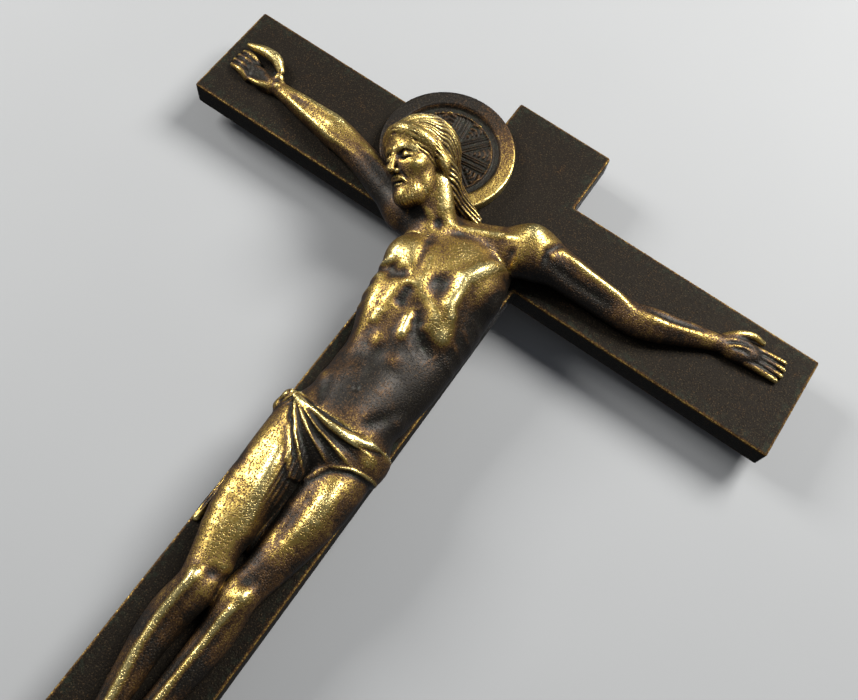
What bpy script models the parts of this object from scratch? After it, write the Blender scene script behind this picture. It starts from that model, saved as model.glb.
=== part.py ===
"""Bronze crucifix: a cast cross with a corpus in relief, a nimbus, a footrest and a hanging ring.

Metres. +Z runs up the shaft, +X to the viewer's right and the figure faces -Y. The origin is the
centre of the shaft's foot end. Every piece is placed about the crossing's centre on the flat back
face, and hangs from an empty that stands there.
"""

import math

import bmesh
import bpy
from mathutils import Euler, Matrix, Vector

# Cross plate
SHAFT_WIDTH = 0.025
PLATE_THICKNESS = 0.0065
ARM_SPAN = 0.1515
ARM_HEIGHT = 0.0259
TOP_RISE = 0.0163  # top arm above the crossbar
FOOT_DROP = 0.1988  # end of the shaft below the crossing's centre
EDGE_BEVEL = 0.0005

# Clearances
REST_GAP = 0.0003  # between faces that rest on each other
SCREW_CLEARANCE = 0.0002  # round a screw, in the radius and at its tip

# Figure
FIGURE_MODULE = 0.025  # the height of the figure's head; its masses are in these modules
LEFT_TIP_MARGIN = 0.0057  # fingertips to the end of the crossbar
RIGHT_TIP_MARGIN = 0.0025
SKIN_VOXEL = 0.0007
SKIN_TRIANGLES = 6500

# Nimbus
NIMBUS_RADIUS = 0.0155
NIMBUS_THICKNESS = 0.0026
NIMBUS_CENTRE = (-0.0185, 0.0065)  # x, z
NIMBUS_RIM = 0.0034  # width of the flat rim
NIMBUS_RECESS = 0.0007  # depth of the field inside the rim
NIMBUS_RAY_WIDTH = 0.0030

# Footrest
FOOTREST_TOP = -0.1512  # z of its top at the plate
FOOTREST_SIZE = (0.0160, 0.0090, 0.0075)  # width, depth, height
FOOTREST_SLOPE = 0.0030  # how far the top falls towards the front

# Screws: head radius, head height, shank radius
BODY_SCREW = (0.0029, 0.0015, 0.0015)
SMALL_SCREW = (0.0018, 0.0010, 0.0009)
HEAD_RIM = 0.0003
SLOT_WIDTH = 0.0005
SLOT_DEPTH = 0.0005
BODY_GRIP = 0.0050  # shank inside the figure's trunk
HAND_GRIP = 0.0011
ANKLE_GRIP = 0.0022
NIMBUS_GRIP = 0.0009
FOOTREST_GRIP = 0.0045
HANGER_GRIP = 0.0036  # shank of a hanger screw inside the plate

# Hanger
HANGER_Z = 0.0168  # the ring's axis above the crossing's centre
STRAP_WIDTH = 0.0070
STRAP_LENGTH = 0.0140
STRAP_THICKNESS = 0.0010
RING_WIRE = 0.0008  # radius
RING_PLAY = 0.0003
RING_HALF_WIDTH = 0.0054
RING_CORNER = 0.0018
RING_SIDE = 0.0016
HANGER_SCREW_DROPS = (0.0044, 0.0118)  # below the ring's axis

# Pads, which are as deep as the hanger so that the cross hangs flat on a wall
PAD_RADIUS = 0.0048
PAD_INSET = 0.0085  # from the end of an arm or of the shaft to a pad's centre

FRONT = -PLATE_THICKNESS  # y of the cross's front face
BEARING = FRONT - REST_GAP  # y of the back of whatever rests on it
ROUND_STEPS = 16

# The figure's masses, in modules: x, z, height of the centre over its back, then radii.
# A station of a limb is (x, z, height, radius); an ellipsoid is (x, z, height, rx, rz, rh, lean).
LIMB_DEPTH = 0.85  # a limb's section is this much flatter than round
LEFT_ARM = (
    (0.42, -0.20, 0.16, 0.21),
    (0.70, -0.17, 0.14, 0.185),
    (1.05, -0.17, 0.11, 0.170),
    (1.40, -0.17, 0.09, 0.150),
    (1.62, -0.12, 0.08, 0.150),
    (1.90, -0.01, 0.06, 0.115),
    (2.16, 0.10, 0.04, 0.085),
    (2.36, 0.16, 0.03, 0.110),
    (2.56, 0.17, 0.02, 0.110),
    (2.74, 0.20, 0.01, 0.075),
)
LEFT_THUMB = ((2.28, 0.20, 0.02, 0.055), (2.42, 0.33, 0.03, 0.050), (2.54, 0.36, 0.02, 0.040))
RIGHT_ARM = (
    (-0.64, -0.50, 0.12, 0.17),
    (-0.95, -0.41, 0.11, 0.155),
    (-1.20, -0.32, 0.10, 0.145),
    (-1.40, -0.26, 0.09, 0.140),
    (-1.66, -0.20, 0.08, 0.140),
    (-2.00, -0.16, 0.06, 0.110),
    (-2.34, -0.13, 0.04, 0.080),
    (-2.52, -0.11, 0.03, 0.110),
    (-2.72, -0.08, 0.02, 0.110),
    (-2.85, -0.06, 0.01, 0.075),
)
RIGHT_THUMB = ((-2.42, -0.05, 0.02, 0.055), (-2.56, 0.06, 0.03, 0.050), (-2.70, 0.10, 0.02, 0.040))
RIGHT_LEG = (
    (-0.20, -2.62, 0.13, 0.27),
    (-0.20, -3.05, 0.17, 0.25),
    (-0.20, -3.45, 0.17, 0.21),
    (-0.13, -3.82, 0.19, 0.165),
    (-0.09, -4.03, 0.21, 0.160),
    (-0.14, -4.30, 0.13, 0.165),
    (-0.14, -4.55, 0.12, 0.150),
    (-0.08, -4.98, 0.12, 0.110),
    (-0.02, -5.42, 0.16, 0.090),
)
LEFT_LEG = (
    (0.27, -2.62, 0.11, 0.24),
    (0.29, -3.00, 0.15, 0.23),
    (0.27, -3.40, 0.13, 0.19),
    (0.23, -3.75, 0.13, 0.150),
    (0.21, -3.94, 0.16, 0.145),
    (0.23, -4.22, 0.09, 0.145),
    (0.22, -4.50, 0.08, 0.130),
    (0.18, -4.95, 0.07, 0.100),
    (0.12, -5.40, 0.07, 0.085),
)
RIGHT_FOOT = ((-0.02, -5.42, 0.16, 0.100), (0.02, -5.75, 0.18, 0.115), (0.05, -6.00, 0.13, 0.100))
LEFT_FOOT = ((0.12, -5.40, 0.07, 0.090), (0.13, -5.75, 0.06, 0.100), (0.13, -6.00, 0.05, 0.080))
NECK = ((-0.24, -0.70, 0.14, 0.22), (-0.46, -0.42, 0.26, 0.20), (-0.62, -0.20, 0.34, 0.20))
COLLAR = ((-0.34, -0.52, 0.12, 0.18), (0.08, -0.34, 0.13, 0.17), (0.44, -0.18, 0.15, 0.20))
RIGHT_COLLAR = ((-0.34, -0.56, 0.14, 0.18), (-0.66, -0.51, 0.12, 0.15))
CLOTH_ROLL = (
    (-0.44, -2.50, 0.20, 0.100),
    (-0.20, -2.50, 0.34, 0.060),
    (0.10, -2.42, 0.35, 0.055),
    (0.34, -2.30, 0.26, 0.055),
    (0.48, -2.22, 0.12, 0.060),
)
CLOTH_TAIL = ((-0.42, -2.62, 0.06, 0.100), (-0.46, -3.10, 0.00, 0.070), (-0.40, -3.64, -0.01, 0.060))
MASSES = {
    "rib_cage": (-0.02, -1.08, 0.07, 0.49, 0.76, 0.40, 8),
    "left_flank": (0.31, -1.22, 0.03, 0.21, 0.86, 0.24, 1),
    "left_breast": (0.20, -0.78, 0.17, 0.36, 0.30, 0.26, 12),
    "right_breast": (-0.25, -0.92, 0.17, 0.31, 0.30, 0.26, 14),
    "belly": (0.06, -1.86, 0.05, 0.43, 0.72, 0.29, 4),
    "lower_belly": (0.04, -2.26, 0.12, 0.38, 0.40, 0.27, 0),
    "hips": (0.04, -2.52, 0.08, 0.49, 0.36, 0.33, 0),
    "cloth_between": (0.05, -3.05, 0.00, 0.14, 0.62, 0.15, 0),
    "left_shoulder": (0.46, -0.19, 0.15, 0.24, 0.21, 0.22, 0),
    "right_shoulder": (-0.68, -0.50, 0.12, 0.19, 0.16, 0.16, 0),
}
# The head: its centre, the way it faces and its crown's direction, all as (x, z, height).
HEAD_CENTRE = (-0.78, -0.17, 0.38)
HEAD_FACING = (-0.62, -0.45, 0.64)
HEAD_CROWN = (-0.25, 0.95, 0.10)
# Masses of the head, as (to its left, forward, up), then radii on the same axes.
HEAD_MASSES = (
    ((0.0, -0.05, 0.10), (0.29, 0.35, 0.32)),  # skull with its hair
    ((0.0, 0.08, -0.14), (0.20, 0.23, 0.30)),  # face and jaw
    ((0.0, 0.17, -0.36), (0.13, 0.13, 0.14)),  # beard
    ((0.0, 0.31, -0.08), (0.05, 0.06, 0.10)),  # nose
    ((0.20, -0.12, -0.18), (0.13, 0.20, 0.34)),  # hair beside the left cheek
    ((-0.20, -0.12, -0.14), (0.13, 0.20, 0.32)),  # hair beside the right cheek
)

FINISHES = {
    "patinated_bronze": ((0.055, 0.042, 0.028, 1.0), 0.55, 1.0),
    "rubbed_bronze": ((0.42, 0.29, 0.11, 1.0), 0.38, 1.0),
    "nimbus_bronze": ((0.24, 0.18, 0.08, 1.0), 0.45, 1.0),
    "turned_brass": ((0.50, 0.38, 0.16, 1.0), 0.35, 1.0),
    "felt": ((0.05, 0.09, 0.06, 1.0), 0.95, 0.0),
}


def clear_scene():
    """Empty the scene so that a run always starts from nothing."""
    for item in list(bpy.data.objects):
        bpy.data.objects.remove(item)


def new_collection(name, hidden=False):
    """A collection in the scene."""
    made = bpy.data.collections.new(name)
    made.hide_render = hidden
    bpy.context.scene.collection.children.link(made)
    return made


def finish(name):
    """A Principled material of the named finish, made once."""
    found = bpy.data.materials.get(name)
    if found:
        return found
    colour, roughness, metallic = FINISHES[name]
    made = bpy.data.materials.new(name)
    made.use_nodes = True
    made.diffuse_color = colour
    shader = made.node_tree.nodes["Principled BSDF"]
    shader.inputs["Base Color"].default_value = colour
    shader.inputs["Roughness"].default_value = roughness
    shader.inputs["Metallic"].default_value = metallic
    return made


class Bench:
    """Where the pieces and their cutters are put, and what cuts what."""

    def __init__(self):
        self.parts = new_collection("crucifix")
        self.cutters = new_collection("cutters", hidden=True)
        self.cuts = {}
        self.crossing = bpy.data.objects.new("crossing", None)
        self.crossing.location = (0, PLATE_THICKNESS / 2, FOOT_DROP)
        self.parts.objects.link(self.crossing)

    def part(self, name, mesh, finish_name, location=(0, 0, 0), rotation=(0, 0, 0)):
        """A sub-part with its finish."""
        made = bpy.data.objects.new(name, mesh)
        made.location = location
        made.rotation_euler = rotation
        made.parent = self.crossing
        mesh.materials.append(finish(finish_name))
        self.parts.objects.link(made)
        return made

    def cutter(self, name, mesh, location=(0, 0, 0), rotation=(0, 0, 0)):
        """A helper shape that only cuts."""
        made = bpy.data.objects.new(name, mesh)
        made.location = location
        made.rotation_euler = rotation
        made.parent = self.crossing
        made.hide_render = True
        made.display_type = "WIRE"
        self.cutters.objects.link(made)
        return made

    def cut(self, piece, cutter):
        """Note that the cutter is taken out of the piece."""
        self.cuts.setdefault(piece.name, []).append(cutter)

    def make_cuts(self):
        """Give each piece one Boolean that takes out all its cutters at once."""
        for name, cutters in self.cuts.items():
            taken = bpy.data.collections.new(f"{name}_cutters")
            taken.hide_render = True
            self.cutters.children.link(taken)
            for cutter in cutters:
                taken.objects.link(cutter)
            boolean = bpy.data.objects[name].modifiers.new("cuts", "BOOLEAN")
            boolean.operation = "DIFFERENCE"
            boolean.operand_type = "COLLECTION"
            boolean.collection = taken


def mesh_from(bm, name):
    """The mesh of a finished bmesh."""
    mesh = bpy.data.meshes.new(name)
    bm.to_mesh(mesh)
    bm.free()
    return mesh


def block_mesh(name, low, high):
    """A box between two corners."""
    bm = bmesh.new()
    middle = (Vector(low) + Vector(high)) / 2
    size = Vector(high) - Vector(low)
    place = Matrix.Translation(middle) @ Matrix.Diagonal((*size, 1))
    bmesh.ops.create_cube(bm, size=1, matrix=place)
    return mesh_from(bm, name)


def rod_mesh(name, radius, length, steps=ROUND_STEPS):
    """A cylinder about local Z, from 0 up to its length."""
    bm = bmesh.new()
    place = Matrix.Translation((0, 0, length / 2))
    bmesh.ops.create_cone(
        bm, cap_ends=True, segments=steps, radius1=radius, radius2=radius, depth=length, matrix=place
    )
    return mesh_from(bm, name)


def turn(obj, steps=ROUND_STEPS):
    """Turn the object's profile about its Z axis."""
    screw = obj.modifiers.new("turned", "SCREW")
    screw.steps = screw.render_steps = steps
    screw.use_merge_vertices = True
    screw.merge_threshold = 0.00001
    screw.use_smooth_shade = False


def profile_mesh(name, points):
    """A profile of (radius, z) points, as a line of edges to be turned."""
    mesh = bpy.data.meshes.new(name)
    edges = [(i, i + 1) for i in range(len(points) - 1)]
    mesh.from_pydata([(r, 0, z) for r, z in points], edges, [])
    return mesh


def join(obj, shape):
    """Melt a helper shape into the object."""
    boolean = obj.modifiers.new(shape.name, "BOOLEAN")
    boolean.operation = "UNION"
    boolean.object = shape


# Screws go in from behind: local +Z is turned to +Y, so that the head is at the back.
FROM_BEHIND = Euler((-math.pi / 2, 0, 0))


def countersunk_profile(size, length, grow=0.0, above=0.0):
    """Half-section of a countersunk screw under z = 0, or of its hole when grow and above are set."""
    head, head_height, shank = size
    cone_top = -HEAD_RIM
    top = [(0, above), (head + grow, above)]
    return top + [
        (head + grow, cone_top),
        (shank + grow, -head_height),
        (shank + grow, -length - grow),
        (0, -length - grow),
    ]


def add_screw(bench, name, size, seat, length, pieces):
    """A slotted countersunk screw with its head's face at the seat, and its hole in the pieces."""
    slot_corner = Vector((size[0] * 1.5, SLOT_WIDTH / 2, SLOT_DEPTH))
    slot = bench.cutter(f"{name}_slot", block_mesh(f"{name}_slot", -slot_corner, slot_corner),
                        seat, FROM_BEHIND)
    screw = bench.part(name, profile_mesh(name, countersunk_profile(size, length)),
                       "turned_brass", seat, FROM_BEHIND)
    turn(screw)
    bench.cut(screw, slot)
    hole_profile = countersunk_profile(size, length, SCREW_CLEARANCE, 3 * REST_GAP)
    hole = bench.cutter(f"{name}_hole", profile_mesh(f"{name}_hole", hole_profile), seat, FROM_BEHIND)
    turn(hole)
    for piece in pieces:
        bench.cut(piece, hole)


def make_cross_plate(bench):
    """The flat cross, as one outline given its thickness."""
    half_shaft, half_arm, half_span = SHAFT_WIDTH / 2, ARM_HEIGHT / 2, ARM_SPAN / 2
    top = half_arm + TOP_RISE
    right_side = [
        (half_shaft, top),
        (half_shaft, half_arm),
        (half_span, half_arm),
        (half_span, -half_arm),
        (half_shaft, -half_arm),
        (half_shaft, -FOOT_DROP),
    ]
    outline = right_side + [(-x, z) for x, z in reversed(right_side)]
    bm = bmesh.new()
    face = bm.faces.new([bm.verts.new((x, FRONT, z)) for x, z in outline])
    bm.normal_update()
    if face.normal.y > 0:
        face.normal_flip()
    extruded = bmesh.ops.extrude_face_region(bm, geom=[face], use_keep_orig=True)
    back = [v for v in extruded["geom"] if isinstance(v, bmesh.types.BMVert)]
    bmesh.ops.translate(bm, verts=back, vec=(0, PLATE_THICKNESS, 0))
    bmesh.ops.recalc_face_normals(bm, faces=bm.faces)
    plate = bench.part("cross_plate", mesh_from(bm, "cross_plate"), "patinated_bronze")
    bevel = plate.modifiers.new("worn_edges", "BEVEL")
    bevel.width = EDGE_BEVEL
    bevel.segments = 2
    return plate


# From modules to metres: local Y is the height over the figure's flat back, turned to -Y.
FIGURE_SPACE = Matrix.Translation((0, BEARING, 0)) @ Matrix.Scale(FIGURE_MODULE, 4)


def on_plate(x, z, height):
    """A point of the figure, in modules, in the order that FIGURE_SPACE takes."""
    return Vector((x, -height, z))


def stretched(stations, tip_x):
    """The same limb with its far end at tip_x, its near end where it was."""
    near = stations[0][0]
    share = (tip_x - near) / (stations[-1][0] - near)
    return tuple((near + (x - near) * share, z, height, r) for x, z, height, r in stations)


def arm_tips():
    """Where the last stations of the left and right arms lie, in modules, from the crossbar's ends."""
    reach = ARM_SPAN / 2
    left = (reach - LEFT_TIP_MARGIN) / FIGURE_MODULE - LEFT_ARM[-1][3]
    right = (reach - RIGHT_TIP_MARGIN) / FIGURE_MODULE - RIGHT_ARM[-1][3]
    return left, -right


def add_ellipsoid(bm, centre, radii, turned=Matrix.Identity(4)):
    """One rounded mass."""
    place = FIGURE_SPACE @ Matrix.Translation(centre) @ turned @ Matrix.Diagonal((*radii, 1))
    bmesh.ops.create_uvsphere(bm, u_segments=20, v_segments=12, radius=1, matrix=place)


def add_limb(bm, stations):
    """A ball at each station, and a cone from each to the next, all flattened towards the plate."""
    flatten = Matrix.Diagonal((1, LIMB_DEPTH, 1, 1))
    points = [Vector((x, -height / LIMB_DEPTH, z)) for x, z, height, _ in stations]
    radii = [station[3] for station in stations]
    for point, radius in zip(points, radii):
        place = FIGURE_SPACE @ flatten @ Matrix.Translation(point)
        bmesh.ops.create_uvsphere(bm, u_segments=12, v_segments=8, radius=radius, matrix=place)
    for near, far, near_radius, far_radius in zip(points, points[1:], radii, radii[1:]):
        along = far - near
        place = FIGURE_SPACE @ flatten @ Matrix.Translation((near + far) / 2)
        place = place @ along.to_track_quat("Z", "Y").to_matrix().to_4x4()
        bmesh.ops.create_cone(bm, cap_ends=True, segments=12, radius1=near_radius,
                              radius2=far_radius, depth=along.length, matrix=place)


def head_axes():
    """The head's left, forward and up axes in the row's frame."""
    def direction(v):
        return Vector((v[0], -v[2], v[1])).normalized()

    forward = direction(HEAD_FACING)
    crown = direction(HEAD_CROWN)
    up = (crown - forward * crown.dot(forward)).normalized()
    left = forward.cross(up).normalized() * -1
    return Matrix((left, forward, up)).transposed()


def add_head(bm):
    """The head, bowed and turned towards the right shoulder."""
    axes = head_axes()
    centre = on_plate(*HEAD_CENTRE)
    for offset, radii in HEAD_MASSES:
        add_ellipsoid(bm, centre + axes @ Vector(offset), radii, axes.to_4x4())


def make_corpus(bench):
    """The figure: masses and limbs melted into one skin, with a flat back."""
    left_tip, right_tip = arm_tips()
    left_share = (left_tip - LEFT_ARM[0][0]) / (LEFT_ARM[-1][0] - LEFT_ARM[0][0])
    right_share = (right_tip - RIGHT_ARM[0][0]) / (RIGHT_ARM[-1][0] - RIGHT_ARM[0][0])
    bm = bmesh.new()
    for x, z, height, rx, rz, rh, lean in MASSES.values():
        turned = Matrix.Rotation(math.radians(-lean), 4, "Y")
        add_ellipsoid(bm, on_plate(x, z, height), (rx, rh, rz), turned)
    add_limb(bm, stretched(LEFT_ARM, left_tip))
    add_limb(bm, stretched(RIGHT_ARM, right_tip))
    for thumb, arm, share in ((LEFT_THUMB, LEFT_ARM, left_share), (RIGHT_THUMB, RIGHT_ARM, right_share)):
        add_limb(bm, [(arm[0][0] + (x - arm[0][0]) * share, z, h, r) for x, z, h, r in thumb])
    for limb in (RIGHT_LEG, LEFT_LEG, RIGHT_FOOT, LEFT_FOOT, NECK, COLLAR, RIGHT_COLLAR,
                 CLOTH_ROLL, CLOTH_TAIL):
        add_limb(bm, limb)
    add_head(bm)
    corpus = bench.part("corpus", mesh_from(bm, "corpus"), "rubbed_bronze")
    skin = corpus.modifiers.new("skin", "REMESH")
    skin.mode = "VOXEL"
    skin.voxel_size = SKIN_VOXEL
    soften = corpus.modifiers.new("soften", "SMOOTH")
    soften.iterations = 4
    thin = corpus.modifiers.new("thin", "DECIMATE")
    thin.ratio = SKIN_TRIANGLES / triangle_count(corpus)
    far = FIGURE_MODULE * 10
    behind = bench.cutter("behind", block_mesh("behind", (-far, BEARING, -far), (far, far, far)))
    bench.cut(corpus, behind)
    return corpus


def triangle_count(obj):
    """The object's triangles with its modifiers so far."""
    bpy.context.view_layer.update()
    graph = bpy.context.evaluated_depsgraph_get()
    mesh = bpy.data.meshes.new_from_object(obj.evaluated_get(graph))
    mesh.calc_loop_triangles()
    count = len(mesh.loop_triangles)
    bpy.data.meshes.remove(mesh)
    return count


def disc_place():
    """The nimbus's centre on the face it rests on."""
    return Vector((NIMBUS_CENTRE[0], BEARING, NIMBUS_CENTRE[1]))


FACING_OUT = Euler((math.pi / 2, 0, 0))  # local +Z is turned to -Y


def make_nimbus(bench, corpus):
    """A dished disc with a flat rim and a cross of rays; the figure's head is hollowed to sit over it."""
    inner = NIMBUS_RADIUS - NIMBUS_RIM
    field = NIMBUS_THICKNESS - NIMBUS_RECESS
    chamfer = EDGE_BEVEL / 2
    profile = [
        (0, field),
        (inner, field),
        (inner, NIMBUS_THICKNESS),
        (NIMBUS_RADIUS - chamfer, NIMBUS_THICKNESS),
        (NIMBUS_RADIUS, NIMBUS_THICKNESS - chamfer),
        (NIMBUS_RADIUS, 0),
        (0, 0),
    ]
    nimbus = bench.part("nimbus", profile_mesh("nimbus", profile), "nimbus_bronze",
                        disc_place(), FACING_OUT)
    turn(nimbus, steps=48)
    half_ray, reach = NIMBUS_RAY_WIDTH / 2, inner + NIMBUS_RIM / 2
    ray_low, ray_high = field / 2, NIMBUS_THICKNESS - NIMBUS_RECESS / 2
    for name, size in (("ray_across", (reach, half_ray)), ("ray_along", (half_ray, reach))):
        mesh = block_mesh(name, (-size[0], -size[1], ray_low), (size[0], size[1], ray_high))
        join(nimbus, bench.cutter(name, mesh, disc_place(), FACING_OUT))
    nest = rod_mesh("nimbus_nest", NIMBUS_RADIUS + REST_GAP, NIMBUS_THICKNESS + 2 * REST_GAP, 48)
    start = disc_place() + Vector((0, REST_GAP, 0))
    bench.cut(corpus, bench.cutter("nimbus_nest", nest, start, FACING_OUT))
    return nimbus


def footrest_mesh(name, gap=0.0):
    """A wedge whose top falls towards the front, grown by a gap when it is a cutter."""
    width, depth, height = FOOTREST_SIZE
    low = (-width / 2 - gap, BEARING - depth - gap, FOOTREST_TOP - height - gap)
    high = (width / 2 + gap, BEARING + gap, FOOTREST_TOP + gap)
    mesh = block_mesh(name, low, high)
    for vertex in mesh.vertices:
        if vertex.co.z > FOOTREST_TOP - height / 2 and vertex.co.y < BEARING - depth / 2:
            vertex.co.z -= FOOTREST_SLOPE
    return mesh


def make_footrest(bench, corpus):
    """The block under the feet, which are cut to stand on it."""
    footrest = bench.part("footrest", footrest_mesh("footrest"), "patinated_bronze")
    bevel = footrest.modifiers.new("worn_edges", "BEVEL")
    bevel.width = EDGE_BEVEL
    bevel.segments = 2
    bench.cut(corpus, bench.cutter("footrest_nest", footrest_mesh("footrest_nest", REST_GAP)))
    return footrest


def figure_screws():
    """Name, size, x, z and grip of each screw that holds the figure."""
    left_tip, right_tip = (tip * FIGURE_MODULE for tip in arm_tips())
    palm_back = 0.31 * FIGURE_MODULE  # from the last station of an arm to its palm
    trunk_x, chest_z, hips_z = -0.04, -0.95, -2.52
    ankle_x, ankle_z = 0.06, -5.56
    unit = FIGURE_MODULE
    return (
        ("corpus_screw_left_hand", SMALL_SCREW, left_tip - palm_back, 0.165 * unit, HAND_GRIP),
        ("corpus_screw_right_hand", SMALL_SCREW, right_tip + palm_back, -0.11 * unit, HAND_GRIP),
        ("corpus_screw_chest", BODY_SCREW, trunk_x * unit, chest_z * unit, BODY_GRIP),
        ("corpus_screw_hips", BODY_SCREW, trunk_x * unit, hips_z * unit, BODY_GRIP),
        ("corpus_screw_ankles", SMALL_SCREW, ankle_x * unit, ankle_z * unit, ANKLE_GRIP),
    )


def add_fixings(bench, plate, corpus, nimbus, footrest):
    """Every screw that goes through the plate from behind."""
    through = PLATE_THICKNESS + REST_GAP
    sunk = -REST_GAP  # the heads' faces lie just under the plate's back
    for name, size, x, z, grip in figure_screws():
        add_screw(bench, name, size, (x, sunk, z), through + sunk + grip, (plate, corpus))
    x, z = NIMBUS_CENTRE
    inner = NIMBUS_RADIUS - NIMBUS_RIM
    places = {"nimbus_screw_centre": (x, z - inner * 0.3), "nimbus_screw_side": (x + inner * 0.75, z)}
    for name, (sx, sz) in places.items():
        add_screw(bench, name, SMALL_SCREW, (sx, sunk, sz), through + sunk + NIMBUS_GRIP, (plate, nimbus))
    width, _, height = FOOTREST_SIZE
    for name, side in (("footrest_screw_left", 1), ("footrest_screw_right", -1)):
        seat = (side * width / 4, sunk, FOOTREST_TOP - height / 2)
        add_screw(bench, name, SMALL_SCREW, seat, through + sunk + FOOTREST_GRIP, (plate, footrest))


def barrel_radius():
    """Outer radius of the strap's rolled end."""
    return RING_WIRE + RING_PLAY + STRAP_THICKNESS


def ring_axis_y():
    """How far behind the cross the ring turns."""
    return REST_GAP + barrel_radius()


def make_hanger_strap(bench, plate):
    """A strap rolled round the ring's bar and screwed to the back."""
    half = STRAP_WIDTH / 2
    tab_back = REST_GAP + STRAP_THICKNESS
    tab = block_mesh("hanger_strap", (-half, REST_GAP, HANGER_Z - STRAP_LENGTH), (half, tab_back, HANGER_Z))
    strap = bench.part("hanger_strap", tab, "turned_brass")
    across = Euler((0, math.pi / 2, 0))
    steps = 24
    barrel_inset = REST_GAP / 3  # the roll starts inside the tab, so that the two join cleanly
    roll = rod_mesh("strap_roll", barrel_radius() - barrel_inset, STRAP_WIDTH, steps)
    seat = (-half, ring_axis_y(), HANGER_Z)
    join(strap, bench.cutter("strap_roll", roll, seat, across))
    bore = rod_mesh("strap_bore", RING_WIRE + RING_PLAY, 2 * STRAP_WIDTH, steps)
    bore_seat = (-STRAP_WIDTH, ring_axis_y(), HANGER_Z)
    bench.cut(strap, bench.cutter("strap_bore", bore, bore_seat, across))
    for name, drop in zip(("hanger_screw_upper", "hanger_screw_lower"), HANGER_SCREW_DROPS):
        length = tab_back + HANGER_GRIP
        add_screw(bench, name, SMALL_SCREW, (0, tab_back, HANGER_Z - drop), length, (plate, strap))


def arc(centre, radius, start, end, steps):
    """Points on an arc in X and Z, angles in degrees from +X."""
    angles = (math.radians(start + (end - start) * i / steps) for i in range(steps + 1))
    return [(centre[0] + radius * math.cos(a), centre[1] + radius * math.sin(a)) for a in angles]


def ring_path():
    """The ring's centreline about its axis: a bar, two bends, two sides and a half circle below."""
    bend_x = RING_HALF_WIDTH - RING_CORNER
    side_end = -RING_CORNER - RING_SIDE
    right_bend = arc((bend_x, -RING_CORNER), RING_CORNER, 90, 0, 4)
    bow = arc((0, side_end), RING_HALF_WIDTH, 0, -180, 14)
    left_bend = arc((-bend_x, -RING_CORNER), RING_CORNER, 180, 90, 4)
    return right_bend + bow + left_bend


def make_hanger_ring(bench):
    """A D-shaped wire ring that hangs from the strap, its origin on the axis it turns about."""
    curve = bpy.data.curves.new("hanger_ring", "CURVE")
    curve.dimensions = "3D"
    curve.bevel_depth = RING_WIRE
    curve.bevel_resolution = 2
    path = ring_path()
    spline = curve.splines.new("POLY")
    spline.points.add(len(path) - 1)
    for point, (x, z) in zip(spline.points, path):
        point.co = (x, 0, z, 1)
    spline.use_cyclic_u = True
    return bench.part("hanger_ring", curve, "turned_brass", (0, ring_axis_y(), HANGER_Z))


def make_pads(bench):
    """Felt pads at the arms' ends and the shaft's foot."""
    depth = 2 * barrel_radius()
    rounding = depth / 6
    profile = [
        (0, depth),
        (PAD_RADIUS - rounding, depth),
        (PAD_RADIUS, depth - rounding),
        (PAD_RADIUS, 0),
        (0, 0),
    ]
    arm_x = ARM_SPAN / 2 - PAD_INSET
    places = {
        "arm_pad_left": (arm_x, 0),
        "arm_pad_right": (-arm_x, 0),
        "foot_pad": (0, PAD_INSET - FOOT_DROP),
    }
    for name, (x, z) in places.items():
        pad = bench.part(name, profile_mesh(name, profile), "felt", (x, REST_GAP, z), FROM_BEHIND)
        turn(pad, steps=24)


def main():
    """Build the crucifix."""
    clear_scene()
    bench = Bench()
    plate = make_cross_plate(bench)
    corpus = make_corpus(bench)
    nimbus = make_nimbus(bench, corpus)
    footrest = make_footrest(bench, corpus)
    add_fixings(bench, plate, corpus, nimbus, footrest)
    make_hanger_strap(bench, plate)
    make_hanger_ring(bench)
    make_pads(bench)
    bench.make_cuts()


main()
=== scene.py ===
"""Looks of a hand-sized cast bronze crucifix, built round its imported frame.

Metres. +Z runs up the shaft, the figure faces -Y and the origin is the centre of the foot end.
The figure is sculpted in modules, one to the height of its head. A place on it is (x, z, height):
across and up from the centre of the crossing, and out from the plate's face.
"""
import logging
import math
from collections.abc import Sequence
from dataclasses import dataclass, field
from enum import Enum

import bmesh
import bpy
import numpy as np
from mathutils import Matrix, Vector


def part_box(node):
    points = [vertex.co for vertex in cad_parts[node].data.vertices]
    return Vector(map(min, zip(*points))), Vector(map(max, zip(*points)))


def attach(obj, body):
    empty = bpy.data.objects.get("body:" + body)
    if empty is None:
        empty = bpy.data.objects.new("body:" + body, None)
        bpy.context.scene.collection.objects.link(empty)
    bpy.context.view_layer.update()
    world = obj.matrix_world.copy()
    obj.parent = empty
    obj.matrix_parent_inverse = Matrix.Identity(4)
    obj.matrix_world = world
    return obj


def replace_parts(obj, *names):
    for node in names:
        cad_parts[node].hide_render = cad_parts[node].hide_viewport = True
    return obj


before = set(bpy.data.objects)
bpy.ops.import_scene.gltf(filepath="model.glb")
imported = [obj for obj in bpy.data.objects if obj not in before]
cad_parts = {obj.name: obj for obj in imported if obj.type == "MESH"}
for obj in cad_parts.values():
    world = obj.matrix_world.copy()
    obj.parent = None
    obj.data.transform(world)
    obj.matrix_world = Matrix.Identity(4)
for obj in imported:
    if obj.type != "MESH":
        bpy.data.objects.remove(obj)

log = logging.getLogger("crucifix")

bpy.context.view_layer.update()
FAR = 9.0  # further than any two places on the figure, in modules
SLACK = 0.25  # how far past a form its distance is still worked out, in modules
PULL = 0.06  # the furthest that one round of sculpting moves the skin, in modules

Colour = tuple[float, float, float, float]
Place = tuple[float, float, float]
Station = tuple[float, float, float, float]
Line = Sequence[tuple[float, ...]]
Cut = tuple[Vector, Vector]


# ---------------------------------------------------------------------------------------------
# Where things are


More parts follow.
